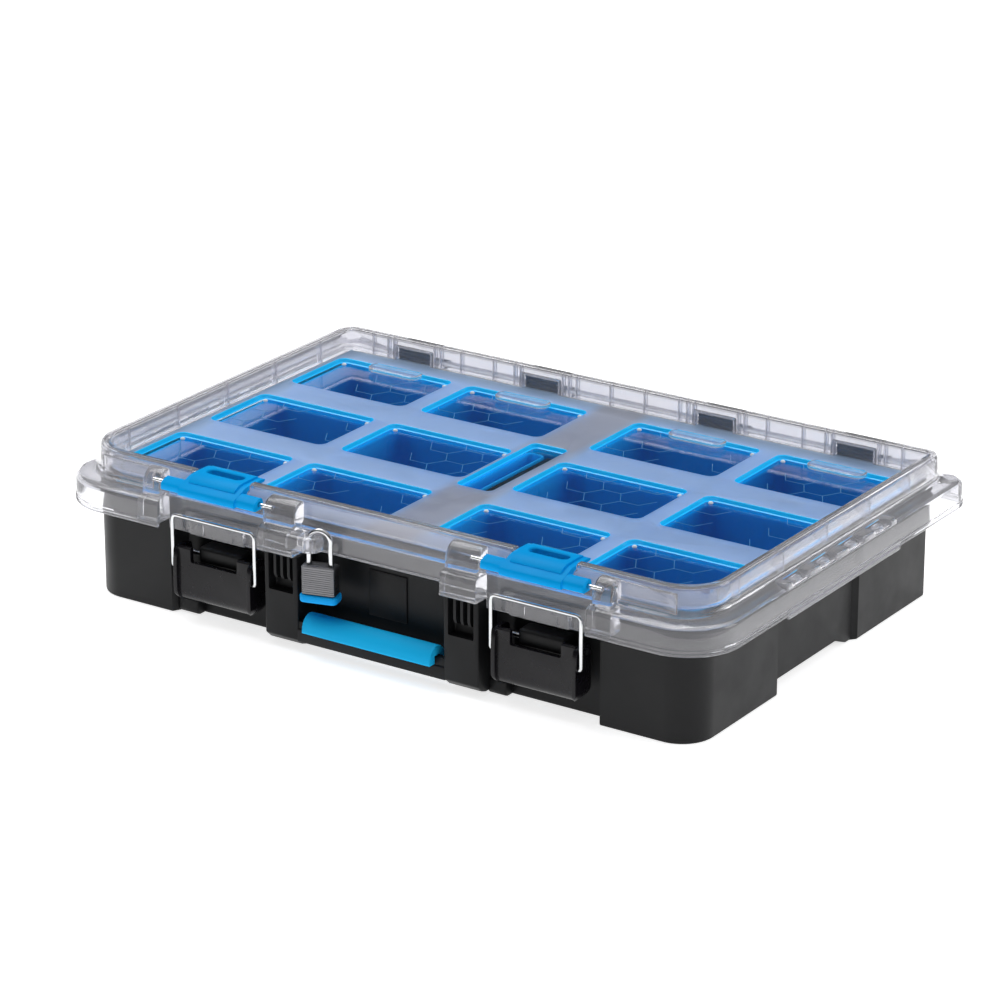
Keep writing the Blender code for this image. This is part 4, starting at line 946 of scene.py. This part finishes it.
def make_padlock():
    place = Matrix.Translation((PAD_X * MM, PAD_Y * MM, 0.0))
    turn = place @ Matrix.Rotation(math.radians(PAD_TURN), 4, "Z")
    half = 8.0

    def block(name, rings, paint):
        return loft(
            name, [level(rrect(12.5 + g, 6.0 + g, 2.4 + g, (half, 0.0), 6), z) for g, z in rings], paint
        )

    points = [(0.0, 61.0)]
    for step in range(25):
        angle = math.pi - math.pi * step / 24
        points.append((half + half * math.cos(angle), 87.0 + half * math.sin(angle)))
    points.append((16.0, 65.0))
    shackle = tube("shackle", points, 0.0, 1.9, STEEL, 20)

    rings = [(-0.9, 49.0), (-0.3, 49.2)]
    for layer in range(13):
        z = 49.4 + 1.55 * layer
        rings += [(0.0, z + 0.12), (0.0, z + 1.2), (-0.32, z + 1.3), (-0.32, z + 1.48)]
    rings += [(-0.4, 69.75), (-1.0, 70.0)]
    body = block("lock_body", rings, LAMINATE)
    cut(
        body,
        rod("long_way", (0, 0, 51.0), (0, 0, 72.0), 2.2, LAMINATE, 24),
        rod("short_way", (16, 0, 55.0), (16, 0, 72.0), 2.2, LAMINATE, 24),
        rod("plug_way", (half, 0, 47.0), (half, 0, 50.2), 4.5, LAMINATE, 24),
    )
    bumper = block(
        "bumper", [(-0.4, 43.0), (0.8, 43.4), (1.4, 44.4), (1.4, 47.6), (1.1, 48.3), (0.4, 48.7)], BUMPER
    )
    cut(bumper, rod("plug_way", (half, 0, 41.0), (half, 0, 53.0), 4.5, BUMPER, 24))
    plug = rod("plug", (half, 0, 43.6), (half, 0, 49.8), 4.1, BRASS, 32)
    cut(plug, box("key_slot", (half - 0.5, -2.8, 41.0), (half + 0.5, 2.8, 48.0), BRASS))
    for thing, slot, node, body_name in (
        (shackle, "bright_steel", "padlock_shackle", "padlock_shackle"),
        (body, "laminated_steel", "padlock_body", "padlock_body"),
        (bumper, "bumper_blue", "padlock_bumper", "padlock_body"),
        (plug, "brass", "padlock_key_plug", "padlock_plug"),
    ):
        thing.data.transform(turn)
        part(thing, body_name, slot, node)


for tag, centre in LATCHES:
    make_lever(tag, centre)
    make_bail(tag, centre)
    make_stack_latch(tag, centre)
for number, hinge_x in enumerate(HINGES):
    make_hinge_leaf(number + 1, hinge_x)
make_padlock()
for name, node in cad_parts.items():
    if name.startswith(("hinge_pin", "latch_pin", "stack_pin")):
        node.data.materials.clear()
        node.data.materials.append(STEEL)


# ---------------------------------------------------------------- stage, light and camera
def make_stage():
    mesh_data = bmesh.new()
    bmesh.ops.create_grid(mesh_data, x_segments=1, y_segments=1, size=6.0)
    floor = to_object("floor", mesh_data, None)
    made, tree, shader = new_material("floor_white")
    shader.inputs["Base Color"].default_value = (0.9, 0.9, 0.9, 1.0)
    shader.inputs["Roughness"].default_value = 0.9
    shader.inputs["Emission Color"].default_value = (1.0, 1.0, 1.0, 1.0)
    shader.inputs["Emission Strength"].default_value = 0.75
    floor.data.materials.clear()
    floor.data.materials.append(made)

    world = bpy.data.worlds.new("studio")
    bpy.context.scene.world = world
    world.use_nodes = True
    tree = world.node_tree
    where = tree.nodes.new("ShaderNodeTexCoord")
    split = tree.nodes.new("ShaderNodeSeparateXYZ")
    tree.links.new(where.outputs["Generated"], split.inputs["Vector"])
    sky = ramp(tree, split.outputs["Z"], ((0.0, (0.03,)), (0.45, (0.03,)), (0.7, (0.35,)), (1.0, (0.8,))))
    # seen straight the surroundings are pale, like the floor, and so they are to level rays through plastic
    level_sky = ramp(
        tree,
        split.outputs["Z"],
        ((0.0, (1.0,)), (0.18, (1.0,)), (0.25, (0.03,)), (0.45, (0.03,)), (0.7, (0.35,)), (1.0, (0.8,))),
    )
    path = tree.nodes.new("ShaderNodeLightPath")
    for kind, other in (("Is Transmission Ray", level_sky), ("Is Camera Ray", None)):
        pick = tree.nodes.new("ShaderNodeMix")
        pick.data_type = "RGBA"
        tree.links.new(path.outputs[kind], pick.inputs["Factor"])
        tree.links.new(sky, pick.inputs[6])
        if other:
            tree.links.new(other, pick.inputs[7])
        else:
            pick.inputs[7].default_value = (1.0, 1.0, 1.0, 1.0)
        sky = pick.outputs[2]
    tree.links.new(sky, tree.nodes["Background"].inputs["Color"])
    tree.nodes["Background"].inputs["Strength"].default_value = 1.0

    def lamp(name, place, aim, size, power):
        data = bpy.data.lights.new(name, "AREA")
        data.shape = "RECTANGLE"
        data.size, data.size_y = size
        data.energy = power
        thing = bpy.data.objects.new(name, data)
        bpy.context.scene.collection.objects.link(thing)
        thing.location = place
        thing.visible_transmission = False
        thing.rotation_euler = (Vector(aim) - Vector(place)).to_track_quat("-Z", "Y").to_euler()

    # rays that went through the clear lid pass the lamps by: its shadow paint already lets their light in
    lamp("key", (-0.9, 0.2, 1.9), (0, 0, 0.05), (1.6, 1.2), 21)
    lamp("side", (2.0, 0.9, 0.9), (0, 0, 0.05), (1.0, 0.9), 12)

    data = bpy.data.cameras.new("camera")
    data.sensor_width = 36.0
    data.lens = 146.98
    data.clip_start, data.clip_end = 0.05, 50.0
    camera = bpy.data.objects.new("camera", data)
    bpy.context.scene.collection.objects.link(camera)
    forward = Vector((-0.518293, 0.778347, -0.354327))
    right = Vector((0.832180, 0.554505, 0.000801))
    up = Vector((-0.197100, 0.294449, 0.935121))
    turn = Matrix((right, up, -forward)).transposed().to_4x4()
    camera.matrix_world = Matrix.Translation((1.514768, -2.289067, 1.111729)) @ turn
    bpy.context.scene.camera = camera
    bpy.context.scene.view_settings.view_transform = "Standard"


make_stage()
